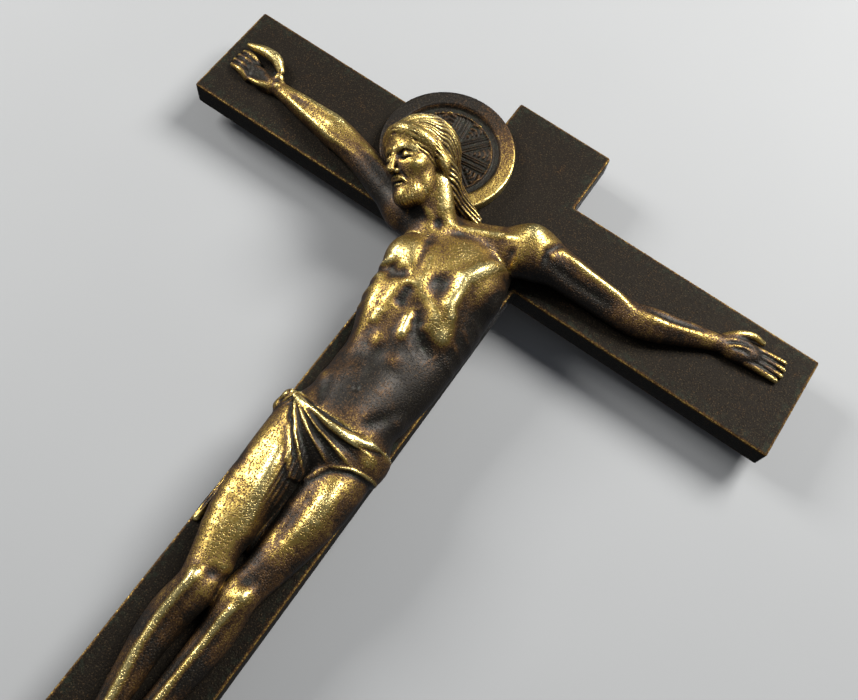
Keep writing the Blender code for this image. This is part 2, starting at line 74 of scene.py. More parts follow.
@dataclass(frozen=True)
class Layout:
    """Places that every piece is set from.

    Attributes:
        crossing: centre of the crossing, on the cross's back face.
        front: y of the plate's front face.
        wall: y of the wall that the cross hangs on.
        module: the figure's module in metres.
    """

    crossing: Vector
    front: float
    wall: float
    module: float = 0.025

    @classmethod
    def read(cls) -> "Layout":
        """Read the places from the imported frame.

        Returns:
            The places.
        """
        plate_low, plate_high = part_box("cross_plate")
        pad_low, pad_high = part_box("arm_pad_left")
        crossing = Vector((0.0, plate_high.y, (pad_low.z + pad_high.z) / 2))
        return cls(crossing, plate_low.y, pad_high.y)

    def to_modules(self, points: np.ndarray) -> np.ndarray:
        """Turn places in metres into (x, z, height) in modules.

        Args:
            points: the places, one to a row.

        Returns:
            The same places in modules.
        """
        x = points[:, 0] - self.crossing.x
        z = points[:, 2] - self.crossing.z
        return np.stack((x, z, self.front - points[:, 1]), axis=1) / self.module

    def to_metres(self, places: np.ndarray) -> np.ndarray:
        """Turn (x, z, height) in modules into places in metres.

        Args:
            places: the places in modules, one to a row.

        Returns:
            The same places in metres.
        """
        scaled = places * self.module
        x = scaled[:, 0] + self.crossing.x
        z = scaled[:, 1] + self.crossing.z
        return np.stack((x, self.front - scaled[:, 2], z), axis=1)

    def figure_space(self) -> Matrix:
        """Matrix that takes (x, -height, z) in modules to metres."""
        middle = Matrix.Translation((self.crossing.x, self.front, self.crossing.z))
        return middle @ Matrix.Scale(self.module, 4)


# ---------------------------------------------------------------------------------------------
# Shader toolkit


class Signal:
    """A socket of a shader node, with arithmetic that adds Math nodes."""

    def __init__(self, graph: "Graph", socket: bpy.types.NodeSocket) -> None:
        """Wrap a socket of the graph."""
        self.graph = graph
        self.socket = socket

    def math(self, operation: str, *others: "Signal | float", first: bool = True) -> "Signal":
        """Add a Math node.

        Args:
            operation: the node's operation.
            others: the other operands.
            first: whether this signal is the first operand, or else the last.

        Returns:
            The node's result.
        """
        values = (self, *others) if first else (*others, self)
        return self.graph.node("ShaderNodeMath", {"operation": operation}, dict(enumerate(values)))

    def __add__(self, other: "Signal | float") -> "Signal":
        """Add."""
        return self.math("ADD", other)

    __radd__ = __add__

    def __sub__(self, other: "Signal | float") -> "Signal":
        """Take away."""
        return self.math("SUBTRACT", other)

    def __rsub__(self, other: "Signal | float") -> "Signal":
        """Be taken away."""
        return self.math("SUBTRACT", other, first=False)

    def __mul__(self, other: "Signal | float") -> "Signal":
        """Multiply."""
        return self.math("MULTIPLY", other)

    __rmul__ = __mul__

    def __truediv__(self, other: "Signal | float") -> "Signal":
        """Divide."""
        return self.math("DIVIDE", other)

    def __pow__(self, other: float) -> "Signal":
        """Raise to a power."""
        return self.math("POWER", other)

    def __abs__(self) -> "Signal":
        """Drop the sign."""
        return self.math("ABSOLUTE")

    def least(self, other: "Signal | float") -> "Signal":
        """The smaller of the two."""
        return self.math("MINIMUM", other)

    def most(self, other: "Signal | float") -> "Signal":
        """The larger of the two."""
        return self.math("MAXIMUM", other)

    def step(self, low: float, high: float) -> "Signal":
        """Rise smoothly from 0 at low to 1 at high."""
        inputs = {"Value": self, "From Min": low, "From Max": high}
        return self.graph.node("ShaderNodeMapRange", {"interpolation_type": "SMOOTHSTEP"}, inputs)


class Graph:
    """The node tree of one material."""

    def __init__(self, name: str) -> None:
        """Start an empty material.

        Args:
            name: the material's name.
        """
        self.material = bpy.data.materials.new(name)
        self.material.use_nodes = True
        self.tree = self.material.node_tree
        self.tree.nodes.clear()
        self.coordinates = self.node("ShaderNodeTexCoord", {}, {}, "Object")

    def node(
        self,
        kind: str,
        settings: dict[str, object],
        inputs: "dict[str | int, Signal | float | tuple]",
        output: str | int = 0,
    ) -> Signal:
        """Add a node.

        Args:
            kind: the node's type.
            settings: its properties, set before its sockets.
            inputs: values or links of its sockets, by name or number.
            output: the socket that is handed back.

        Returns:
            The chosen output.
        """
        made = self.tree.nodes.new(kind)
        for key, value in settings.items():
            setattr(made, key, value)
        for key, value in inputs.items():
            if isinstance(value, Signal):
                self.tree.links.new(value.socket, made.inputs[key])
            else:
                made.inputs[key].default_value = value
        return Signal(self, made.outputs[output])

    def axes(self) -> tuple[Signal, Signal, Signal]:
        """The Object coordinates, one by one."""
        made = self.node("ShaderNodeSeparateXYZ", {}, {0: self.coordinates}, "X").socket.node
        return tuple(Signal(self, made.outputs[axis]) for axis in "XYZ")

    def attribute(self, name: str) -> Signal:
        """A number kept on the mesh."""
        return self.node("ShaderNodeAttribute", {"attribute_name": name}, {}, "Fac")

    def noise(self, grain: float, detail: float = 3.0, roughness: float = 0.55) -> Signal:
        """Cloudy noise whose lumps are about grain metres across."""
        size = {"Scale": 1 / grain, "Detail": detail, "Roughness": roughness}
        return self.node("ShaderNodeTexNoise", {}, {"Vector": self.coordinates, **size}, "Fac")

    def cells(self, grain: float) -> Signal:
        """Distance to the nearest of many scattered points, about grain metres apart."""
        inputs = {"Vector": self.coordinates, "Scale": 1 / grain}
        return self.node("ShaderNodeTexVoronoi", {"feature": "F1"}, inputs, "Distance")

    def mix(self, factor: "Signal | float", a: "Signal | tuple", b: "Signal | tuple") -> Signal:
        """Blend two colours."""
        return self.node("ShaderNodeMix", {"data_type": "RGBA"}, {0: factor, 6: a, 7: b}, 2)

    def bump(self, height: Signal, strength: float, distance: float) -> Signal:
        """Turn a height into a normal."""
        inputs = {"Strength": strength, "Distance": distance, "Height": height}
        return self.node("ShaderNodeBump", {}, inputs)

    def surface(self, inputs: "dict[str | int, Signal | float | tuple]") -> bpy.types.Material:
        """Finish the material with a Principled shader.

        Args:
            inputs: values or links of the shader's sockets.

        Returns:
            The finished material.
        """
        shader = self.node("ShaderNodeBsdfPrincipled", {}, inputs)
        self.node_output(shader)
        return self.material

    def node_output(self, shader: Signal) -> None:
        """Link a shader to the material's output."""
        made = self.tree.nodes.new("ShaderNodeOutputMaterial")
        self.tree.links.new(shader.socket, made.inputs["Surface"])


def tint(red: float, green: float, blue: float) -> Colour:
    """An opaque colour."""
    return (red, green, blue, 1.0)


# ---------------------------------------------------------------------------------------------
# Finishes


class RubbedBy(Enum):
    """What says where a bronze piece is rubbed bright."""

    SKIN = "skin"  # the wear and hollow numbers on a sculpted mesh
    EDGES = "edges"  # nearness to the edges of the flat cross
    TOUCH = "touch"  # nothing but the noise


@dataclass(frozen=True)
class Bronze:
    """Cast bronze with a dark patina that is rubbed off its high places.

    Attributes:
        name: the material's name.
        rubbed_by: what says where it is bright.
        crust: colour of the patina in the hollows.
        brown: colour of the thin patina.
        gold: colour of the bare metal.
        bright: colour of the most polished metal.
        green: colour of the salts in the grooves.
        threshold: wear at which the metal starts to show.
        grain: size of the sand-cast grain.
        relief: depth of the grain's bump.
        green_share: how much green the hollows take.
        sheen: how much the patina mirrors.
        mottle: how brown the patina is where nothing rubs it.
        matt: how rough the patina is.
        fleck: colour of the grain's tips in the patina.
        cloud: size of the largest patches of wear.
        patch: size of the smaller patches of wear.
        edge_wear: how far in from an edge the metal is rubbed bare.
    """

    name: str
    rubbed_by: RubbedBy
    crust: Colour = tint(0.010, 0.0075, 0.0050)
    brown: Colour = tint(0.095, 0.045, 0.014)
    gold: Colour = tint(0.40, 0.275, 0.068)
    bright: Colour = tint(0.86, 0.70, 0.29)
    green: Colour = tint(0.022, 0.034, 0.022)
    threshold: float = 0.42
    grain: float = 0.00030
    relief: float = 0.00007
    green_share: float = 0.4
    sheen: float = 0.45
    mottle: float = 0.16
    matt: float = 0.48
    fleck: Colour = tint(0.070, 0.055, 0.032)
    cloud: float = 0.006
    patch: float = 0.0018
    edge_wear: float = 0.0009

    def material(self, layout: Layout) -> bpy.types.Material:
        """Build the material.

        Args:
            layout: the places that the edge wear is measured from.

        Returns:
            The material.
        """
        graph = Graph(self.name)
        clouds = graph.noise(self.cloud, 4.0)
        patches = graph.noise(self.patch, 3.0)
        speckle = graph.noise(self.grain, 2.0, 0.6)
        pits = graph.cells(self.grain * 1.6)
        wear, hollow = self.wear(graph, layout)
        worn = wear + (clouds - 0.5) * 0.26 + (patches - 0.5) * 0.30 + (speckle - 0.5) * 0.75
        thin = worn.step(self.threshold - 0.26, self.threshold + 0.06)
        bare = worn.step(self.threshold - 0.02, self.threshold + 0.24)
        shine = worn.step(self.threshold + 0.18, self.threshold + 0.56)
        pitted = (1 - pits.step(0.28, 0.46)) * patches.step(0.26, 0.42)
        bare = bare * (1 - pitted * (0.92 - shine * 0.30))
        salts = hollow * graph.noise(0.0012, 3.0).step(0.45, 0.65) * self.green_share
        colour = graph.mix(salts, self.crust, self.green)
        colour = graph.mix(speckle.step(0.54, 0.70) * 0.55, colour, self.fleck)
        colour = graph.mix(thin * (0.45 + patches * 0.7), colour, self.brown)
        metal = graph.mix(shine, self.gold, self.bright)
        colour = graph.mix(bare, colour, metal)
        roughness = bare * (0.34 - self.matt) + self.matt - shine * 0.05
        height = speckle * 0.5 + patches * 0.6 - pitted * 0.6
        return graph.surface({
            "Base Color": colour,
            "Metallic": bare * 0.5 + 0.5,
            "Roughness": roughness + (speckle - 0.5) * 0.22,
            "Specular IOR Level": self.sheen,
            "Normal": graph.bump(height, 1.0, self.relief),
        })

    def wear(self, graph: Graph, layout: Layout) -> tuple[Signal, Signal]:
        """Where the piece is rubbed and where it is sheltered.

        Args:
            graph: the material's graph.
            layout: the places that the edge wear is measured from.

        Returns:
            Two numbers from 0 to 1.
        """
        if self.rubbed_by is RubbedBy.SKIN:
            # On the nimbus these numbers also carry a painted highlight on the lower right of its rim.
            return graph.attribute("wear"), graph.attribute("hollow")
        if self.rubbed_by is RubbedBy.EDGES:
            edge = self.edge_distance(graph, layout)
            near = 1 - edge.step(0.00005, self.edge_wear)
            return self.mottle + near * 0.42, 1 - edge.step(0.0, 0.004)
        return graph.noise(0.004) * 0.5 + self.mottle, graph.noise(0.003)

    def edge_distance(self, graph: Graph, layout: Layout) -> Signal:
        """Distance to the nearest edge of the cross's front or back, along its faces.

        Args:
            graph: the material's graph.
            layout: the places that it is measured from.

        Returns:
            The distance in metres.
        """
        x, y, z = graph.axes()
        low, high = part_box("cross_plate")
        middle = (low + high) / 2
        arm = CrossPlate.arm_height / 2
        across = abs(x)
        up = abs(z - layout.crossing.z)
        in_bar = (high.x - across).least(arm - up)
        to_ends = (high.z - low.z) / 2 - abs(z - middle.z)
        in_shaft = (CrossPlate.shaft_width / 2 - across).least(to_ends)
        inside = in_bar.most(in_shaft)
        depth = abs(y - middle.y) * -1 + (high.y - low.y) / 2
        return inside.most(depth)


@dataclass(frozen=True)
class Felt:
    """Pressed wool felt with a short nap."""

    name: str = "pressed_felt"
    dark: Colour = tint(0.012, 0.030, 0.018)
    light: Colour = tint(0.040, 0.075, 0.046)

    def material(self) -> bpy.types.Material:
        """Build the material.

        Returns:
            The material.
        """
        graph = Graph(self.name)
        fibres = graph.noise(0.00035, 6.0, 0.75)
        clumps = graph.noise(0.0016, 3.0)
        return graph.surface({
            "Base Color": graph.mix(fibres * 0.6 + clumps * 0.4, self.dark, self.light),
            "Roughness": 0.9,
            "Sheen Weight": 0.15,
            "Normal": graph.bump(fibres + clumps * 0.5, 1.0, 0.00025),
        })


@dataclass(frozen=True)
class Paper:
    """The pale sheet that the cross lies before, seen from its front only."""

    name: str = "pale_sheet"
    colour: Colour = tint(0.300, 0.308, 0.315)

    def material(self) -> bpy.types.Material:
        """Build the material.

        Returns:
            The material.
        """
        graph = Graph(self.name)
        cloud = graph.noise(0.05, 2.0)
        lighter = tuple(min(1.0, c * 1.05) for c in self.colour[:3]) + (1.0,)
        front = graph.node("ShaderNodeBsdfPrincipled", {}, {
            "Base Color": graph.mix(cloud, self.colour, lighter),
            "Roughness": 0.75,
        })
        clear = graph.node("ShaderNodeBsdfTransparent", {}, {})
        behind = graph.node("ShaderNodeNewGeometry", {}, {}, "Backfacing")
        graph.node_output(graph.node("ShaderNodeMixShader", {}, {0: behind, 1: front, 2: clear}))
        return graph.material


# ---------------------------------------------------------------------------------------------
# Mesh helpers


def mesh_from(bm: bmesh.types.BMesh, name: str) -> bpy.types.Mesh:
    """Turn a finished bmesh into a mesh.

    Args:
        bm: the bmesh, which is freed.
        name: the mesh's name.

    Returns:
        The mesh.
    """
    mesh = bpy.data.meshes.new(name)
    bm.to_mesh(mesh)
    bm.free()
    return mesh


def place_piece(
    mesh: bpy.types.Mesh,
    material: bpy.types.Material,
    body: str = "cross",
) -> bpy.types.Object:
    """Put a finished mesh in the scene.

    Args:
        mesh: the mesh, with its place in it.
        material: its finish.
        body: the body it rides on.

    Returns:
        The new object, named as its mesh.
    """
    piece = bpy.data.objects.new(mesh.name, mesh)
    bpy.context.scene.collection.objects.link(piece)
    mesh.materials.clear()
    mesh.materials.append(material)
    mesh.shade_smooth()
    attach(piece, body)
    log.info("%s: %d faces", piece.name, len(mesh.polygons))
    return piece


def with_modifier(mesh: bpy.types.Mesh, kind: str, settings: dict[str, object]) -> bpy.types.Mesh:
    """Run one modifier over a mesh.

    Args:
        mesh: the mesh, which is removed.
        kind: the modifier's type.
        settings: its properties.

    Returns:
        The new mesh.
    """
    helper = bpy.data.objects.new("helper", mesh)
    bpy.context.scene.collection.objects.link(helper)
    modifier = helper.modifiers.new(kind.lower(), kind)
    for key, value in settings.items():
        setattr(modifier, key, value)
    graph = bpy.context.evaluated_depsgraph_get()
    made = bpy.data.meshes.new_from_object(helper.evaluated_get(graph))
    name = mesh.name
    bpy.data.objects.remove(helper)
    bpy.data.meshes.remove(mesh)
    made.name = name
    return made


def vertex_places(mesh: bpy.types.Mesh) -> np.ndarray:
    """Read where the vertices of a mesh are.

    Args:
        mesh: the mesh.

    Returns:
        One vertex to a row.
    """
    found = np.empty(len(mesh.vertices) * 3, np.float32)
    mesh.vertices.foreach_get("co", found)
    return found.reshape(-1, 3).astype(float)


def vertex_normals(mesh: bpy.types.Mesh) -> np.ndarray:
    """Read the normals of a mesh's vertices.

    Args:
        mesh: the mesh.

    Returns:
        One normal to a row.
    """
    found = np.empty(len(mesh.vertices) * 3, np.float32)
    mesh.vertex_normals.foreach_get("vector", found)
    return found.reshape(-1, 3).astype(float)


def set_places(mesh: bpy.types.Mesh, places: np.ndarray) -> None:
    """Move the vertices of a mesh."""
    mesh.vertices.foreach_set("co", places.astype(np.float32).ravel())
    mesh.update()


def set_number(mesh: bpy.types.Mesh, name: str, values: np.ndarray) -> None:
    """Keep a number for each vertex."""
    layer = mesh.attributes.new(name, "FLOAT", "POINT")
    layer.data.foreach_set("value", values.astype(np.float32))


class Neighbours:
    """Averages over the vertices that share an edge."""

    def __init__(self, mesh: bpy.types.Mesh) -> None:
        """Read the edges of a mesh.

        Args:
            mesh: the mesh.
        """
        ends = np.empty(len(mesh.edges) * 2, np.int32)
        mesh.edges.foreach_get("vertices", ends)
        self.a, self.b = ends.reshape(-1, 2).T
        self.size = len(mesh.vertices)
        ends_here = np.bincount(self.a, minlength=self.size) + np.bincount(self.b, minlength=self.size)
        self.count = np.maximum(ends_here, 1)

    def mean(self, values: np.ndarray) -> np.ndarray:
        """The mean of each vertex's neighbours, for one column of numbers."""
        total = np.bincount(self.a, values[self.b], self.size)
        return (total + np.bincount(self.b, values[self.a], self.size)) / self.count

    def smooth(self, values: np.ndarray, rounds: int) -> np.ndarray:
        """Average each column of numbers over and over.

        Args:
            values: numbers for each vertex, in one column or more.
            rounds: how many times.

        Returns:
            The averaged numbers.
        """
        columns = values.reshape(self.size, -1).T.copy()
        for index in range(len(columns)):
            for _ in range(rounds):
                columns[index] = (columns[index] + self.mean(columns[index])) / 2
        return columns.T.reshape(values.shape)


# ---------------------------------------------------------------------------------------------
# Sculpting: masses and limbs that melt into each other, then strokes on their skin


def soft_least(a: np.ndarray, b: np.ndarray, blend: float) -> np.ndarray:
    """The smaller of two distances, rounded over where they are within blend of each other."""
    near = np.maximum(blend - np.abs(a - b), 0) / blend
    return np.minimum(a, b) - near * near * blend / 4


def direction(place: Place) -> np.ndarray:
    """A unit vector."""
    vector = np.array(place, float)
    return vector / np.linalg.norm(vector)


@dataclass(frozen=True)
class Axes:
    """A turned set of axes in the figure: to its left, forward and up."""

    origin: Place
    forward: Place
    crown: Place

    def rows(self) -> np.ndarray:
        """Work the three axes out from where they look and point.

        Returns:
            Left, forward and up, one to a row.
        """
        forward = direction(self.forward)
        crown = direction(self.crown)
        up = direction(crown - forward * (crown @ forward))
        left = np.cross(up, forward)
        return np.stack((-left if left[0] < 0 else left, forward, up))

    def local(self, points: np.ndarray) -> np.ndarray:
        """Turn places of the figure into places on these axes."""
        return (points - np.array(self.origin)) @ self.rows().T

    def outer(self, place: Place) -> Place:
        """Turn a place on these axes into a place of the figure."""
        return tuple(np.array(self.origin) + np.array(place) @ self.rows())


@dataclass(frozen=True)
class Mass:
    """An ellipsoid.

    Attributes:
        centre: its centre.
        radii: its radii on its axes.
        blend: how far it melts into what is there.
        lean: turn in the plane of the plate, in degrees.
        axes: axes that centre and radii are on, or None for the figure's own.
        hollow: whether it is scooped out.
    """

    centre: Place
    radii: Place
    blend: float = 0.10
    lean: float = 0.0
    axes: Axes | None = None
    hollow: bool = False

    def turned(self) -> np.ndarray:
        """Work out the ellipsoid's own axes.

        Returns:
            The axes, one to a row.
        """
        if self.axes:
            return self.axes.rows()
        c, s = math.cos(math.radians(self.lean)), math.sin(math.radians(self.lean))
        return np.array(((c, s, 0), (-s, c, 0), (0, 0, 1)))

    def middle(self) -> np.ndarray:
        """The centre as a place of the figure."""
        return np.array(self.axes.outer(self.centre) if self.axes else self.centre)

    def distance(self, points: np.ndarray) -> np.ndarray:
        """Roughly how far each place lies outside the ellipsoid.

        Args:
            points: the places, in modules.

        Returns:
            The distances, which are negative inside.
        """
        radii = np.array(self.radii)
        away = points - self.middle()
        near = np.all(np.abs(away) < radii.max() + SLACK, axis=1)
        local = away[near] @ self.turned().T
        scaled = np.linalg.norm(local / radii, axis=1)
        steep = np.maximum(np.linalg.norm(local / radii**2, axis=1), 1e-9)
        found = np.full(len(points), FAR)
        found[near] = np.maximum(scaled * (scaled - 1) / steep, -radii.min())
        return found

    def rough_out(self, bm: bmesh.types.BMesh, space: Matrix) -> None:
        """Add the ellipsoid to a rough mesh.

        Args:
            bm: the rough mesh.
            space: matrix from modules to metres.
        """
        if self.hollow:
            return
        x, z, height = self.middle()
        rows = self.turned()
        turn = Matrix([(row[0], -row[2], row[1]) for row in rows]).transposed().to_4x4()
        place = space @ Matrix.Translation((x, -height, z)) @ turn @ Matrix.Diagonal((*self.radii, 1))
        bmesh.ops.create_uvsphere(bm, u_segments=24, v_segments=16, radius=1, matrix=place)


@dataclass(frozen=True)
class Limb:
    """A round limb that runs smoothly through its stations.

    Attributes:
        stations: x, z, height and radius of each.
        blend: how far it melts into what is there.
        flat: how flat its section is, from the plate outwards.
        axes: axes that the stations are on, or None for the figure's own.
        steps: how many pieces each stretch is made of.
        hollow: whether it is scooped out.
    """

    stations: tuple[Station, ...]
    blend: float = 0.08
    flat: float = 0.85
    axes: Axes | None = None
    steps: int = 3
    hollow: bool = False

    def chain(self) -> np.ndarray:
        """Run a smooth curve through the stations.

        Returns:
            Points and radii along the curve, one to a row.
        """
        rows = [(*self.axes.outer(s[:3]), s[3]) if self.axes else s for s in self.stations]
        known = np.array([rows[0], *rows, rows[-1]])
        found = []
        for before, start, end, after in zip(known, known[1:], known[2:], known[3:]):
            for t in np.arange(self.steps) / self.steps:
                bend = (2 * before - 5 * start + 4 * end - after) * t**2
                twist = (3 * (start - end) + after - before) * t**3
                found.append(start + ((end - before) * t + bend + twist) / 2)
        found.append(known[-1])
        return np.array(found)

    def distance(self, points: np.ndarray) -> np.ndarray:
        """Roughly how far each place lies outside the limb.

        Args:
            points: the places, in modules.

        Returns:
            The distances, which are negative inside.
        """
        squash = np.array((1, 1, 1 / self.flat))
        chain = self.chain()
        centres, radii = chain[:, :3] * squash, chain[:, 3]
        reach = radii.max() + SLACK
        flat_points = points * squash
        low, high = centres.min(0) - reach, centres.max(0) + reach
        near = np.all((flat_points > low) & (flat_points < high), axis=1)
        close = flat_points[near]
        best = np.full(len(close), FAR)
        for start, end, r0, r1 in zip(centres, centres[1:], radii, radii[1:]):
            along = end - start
            t = np.clip((close - start) @ along / max(along @ along, 1e-12), 0, 1)
            gap = np.linalg.norm(close - start - t[:, None] * along, axis=1)
            best = np.minimum(best, gap - r0 - t * (r1 - r0))
        found = np.full(len(points), FAR)
        found[near] = best
        return found

    def rough_out(self, bm: bmesh.types.BMesh, space: Matrix) -> None:
        """Add the limb to a rough mesh, as balls with cones between them.

        Args:
            bm: the rough mesh.
            space: matrix from modules to metres.
        """
        squash = Matrix.Diagonal((1, self.flat, 1, 1))
        chain = self.chain()
        centres = [Vector((x, -height / self.flat, z)) for x, z, height, _ in chain]
        for centre, radius in zip(centres, chain[:, 3]):
            bmesh.ops.create_uvsphere(bm, u_segments=12, v_segments=8, radius=radius,
                                      matrix=space @ squash @ Matrix.Translation(centre))
        for start, end, r0, r1 in zip(centres, centres[1:], chain[:, 3], chain[1:, 3]):
            along = end - start
            turn = along.to_track_quat("Z", "Y").to_matrix().to_4x4()
            place = space @ squash @ Matrix.Translation((start + end) / 2) @ turn
            bmesh.ops.create_cone(bm, cap_ends=True, segments=12, radius1=r0, radius2=r1,
                                  depth=along.length, matrix=place)


class Chart(Enum):
    """What a stroke's line is drawn on."""

    FRONT = "front"  # (x, z), straight in from the front
    HEAD = "head"  # (left, forward, up) from the middle of the head


def line_distance(points: np.ndarray, line: Line, reach: float) -> tuple[np.ndarray, np.ndarray]:
    """How far each point is from a line, and how far along the line its nearest place is.

    Args:
        points: the points.
        line: the line's corners.
        reach: distance past which nothing is worked out.

    Returns:
        The distances, and the shares of the line's length.
    """
    corners = np.array(line, float)
    near = np.all((points > corners.min(0) - reach) & (points < corners.max(0) + reach), axis=1)
    close = points[near]
    best = np.full(len(close), FAR)
    share = np.zeros(len(close))
    lengths = np.linalg.norm(np.diff(corners, axis=0), axis=1)
    before = 0.0
    for start, end, length in zip(corners, corners[1:], lengths):
        along = end - start
        t = np.clip((close - start) @ along / (length * length), 0, 1)
        gap = np.linalg.norm(close - start - t[:, None] * along, axis=1)
        share = np.where(gap < best, (before + t * length) / lengths.sum(), share)
        best = np.minimum(best, gap)
        before += length
    distance, along_line = np.full(len(points), FAR), np.zeros(len(points))
    distance[near], along_line[near] = best, share
    return distance, along_line


@dataclass(frozen=True)
class Stroke:
    """A ridge, or a groove where its height is negative, along a line on the skin.

    Attributes:
        line: the line's corners.
        width: half its width.
        height: how high it stands.
        chart: what the line is drawn on.
        fade: share of the line over which each end fades.
    """

    line: Line
    width: float
    height: float
    chart: Chart = Chart.FRONT
    fade: float = 0.25

    def relief(self, points: np.ndarray, charts: dict[Chart, np.ndarray]) -> np.ndarray:
        """How high the skin stands at each place.

        Args:
            points: the places; not used.
            charts: the same places on each chart.

        Returns:
            The heights.
        """
        distance, share = line_distance(charts[self.chart], self.line, self.width * 3)
        ends = np.clip(np.minimum(share, 1 - share) / max(self.fade, 1e-6), 0, 1)
        return self.height * np.exp(-((distance / self.width) ** 2)) * (0.15 + 0.85 * ends)


@dataclass(frozen=True)
class Dab:
    """A round bump, or a dent where its height is negative."""

    at: tuple[float, ...]
    width: float
    height: float
    chart: Chart = Chart.FRONT

    def relief(self, points: np.ndarray, charts: dict[Chart, np.ndarray]) -> np.ndarray:
        """How high the skin stands at each place.

        Args:
            points: the places; not used.
            charts: the same places on each chart.

        Returns:
            The heights.
        """
        distance = np.linalg.norm(charts[self.chart] - np.array(self.at), axis=1)
        return self.height * np.exp(-((distance / self.width) ** 2))


@dataclass(frozen=True)
class Patch:
    """An area of skin that stands out as a whole, such as cloth over it.

    Attributes:
        outline: its corners, in order.
        height: how high it stands.
        edge: how wide its step is.
    """

    outline: Line
    height: float
    edge: float = 0.012

    def inside(self, flat: np.ndarray) -> np.ndarray:
        """How far each place lies inside the outline.

        Args:
            flat: (x, z) of each place.

        Returns:
            The distances, which are negative outside.
        """
        corners = np.array(self.outline, float)
        loop = np.vstack((corners, corners[:1]))
        distance, _ = line_distance(flat, loop, FAR)
        odd = np.zeros(len(flat), bool)
        for (x0, z0), (x1, z1) in zip(loop, loop[1:]):
            crosses = (z0 > flat[:, 1]) != (z1 > flat[:, 1])
            at = x0 + (flat[:, 1] - z0) * (x1 - x0) / ((z1 - z0) or 1e-9)
            odd ^= crosses & (flat[:, 0] < at)
        return np.where(odd, distance, -distance)

    def relief(self, points: np.ndarray, charts: dict[Chart, np.ndarray]) -> np.ndarray:
        """How high the skin stands at each place.

        Args:
            points: the places; not used.
            charts: the same places on each chart.

        Returns:
            The heights.
        """
        share = np.clip(self.inside(charts[Chart.FRONT]) / self.edge / 2 + 0.5, 0, 1)
        return self.height * share * share * (3 - 2 * share)


Form = Mass | Limb
Mark = Stroke | Dab | Patch


@dataclass
class Combed:
    """Strands of hair over some masses, running between two poles.

    Attributes:
        hair: the masses that carry the hair.
        axes: the head's axes.
        pole: direction of the pole that the strands run from, on the head's axes.
        strands: how many there are all round.
        height: how deep they are cut.
    """

    hair: tuple[Form, ...]
    axes: Axes
    pole: Place
    strands: int
    height: float

    def relief(self, points: np.ndarray, charts: dict[Chart, np.ndarray]) -> np.ndarray:
        """How high the skin stands at each place.

        Args:
            points: the places.
            charts: the same places on each chart.

        Returns:
            The heights.
        """
        pole = direction(self.pole)
        side = direction(np.cross(pole, (1, 0, 0)))
        other = np.cross(pole, side)
        heading = charts[Chart.HEAD]
        turn = np.arctan2(heading @ other, heading @ side)
        wave = turn + 0.03 * np.sin(5 * turn + 7 * heading @ pole)
        wave = wave + 0.02 * np.sin(11 * heading @ pole + 3 * turn)
        fine = np.abs(np.sin(wave * self.strands / 2)) - 0.6
        coarse = np.abs(np.sin(wave * self.strands / 6 + 0.7)) - 0.6
        nearest = np.min([form.distance(points) for form in self.hair], axis=0)
        covered = np.clip(1 - nearest / 0.025, 0, 1)
        return self.height * covered * (fine + 0.5 * coarse)


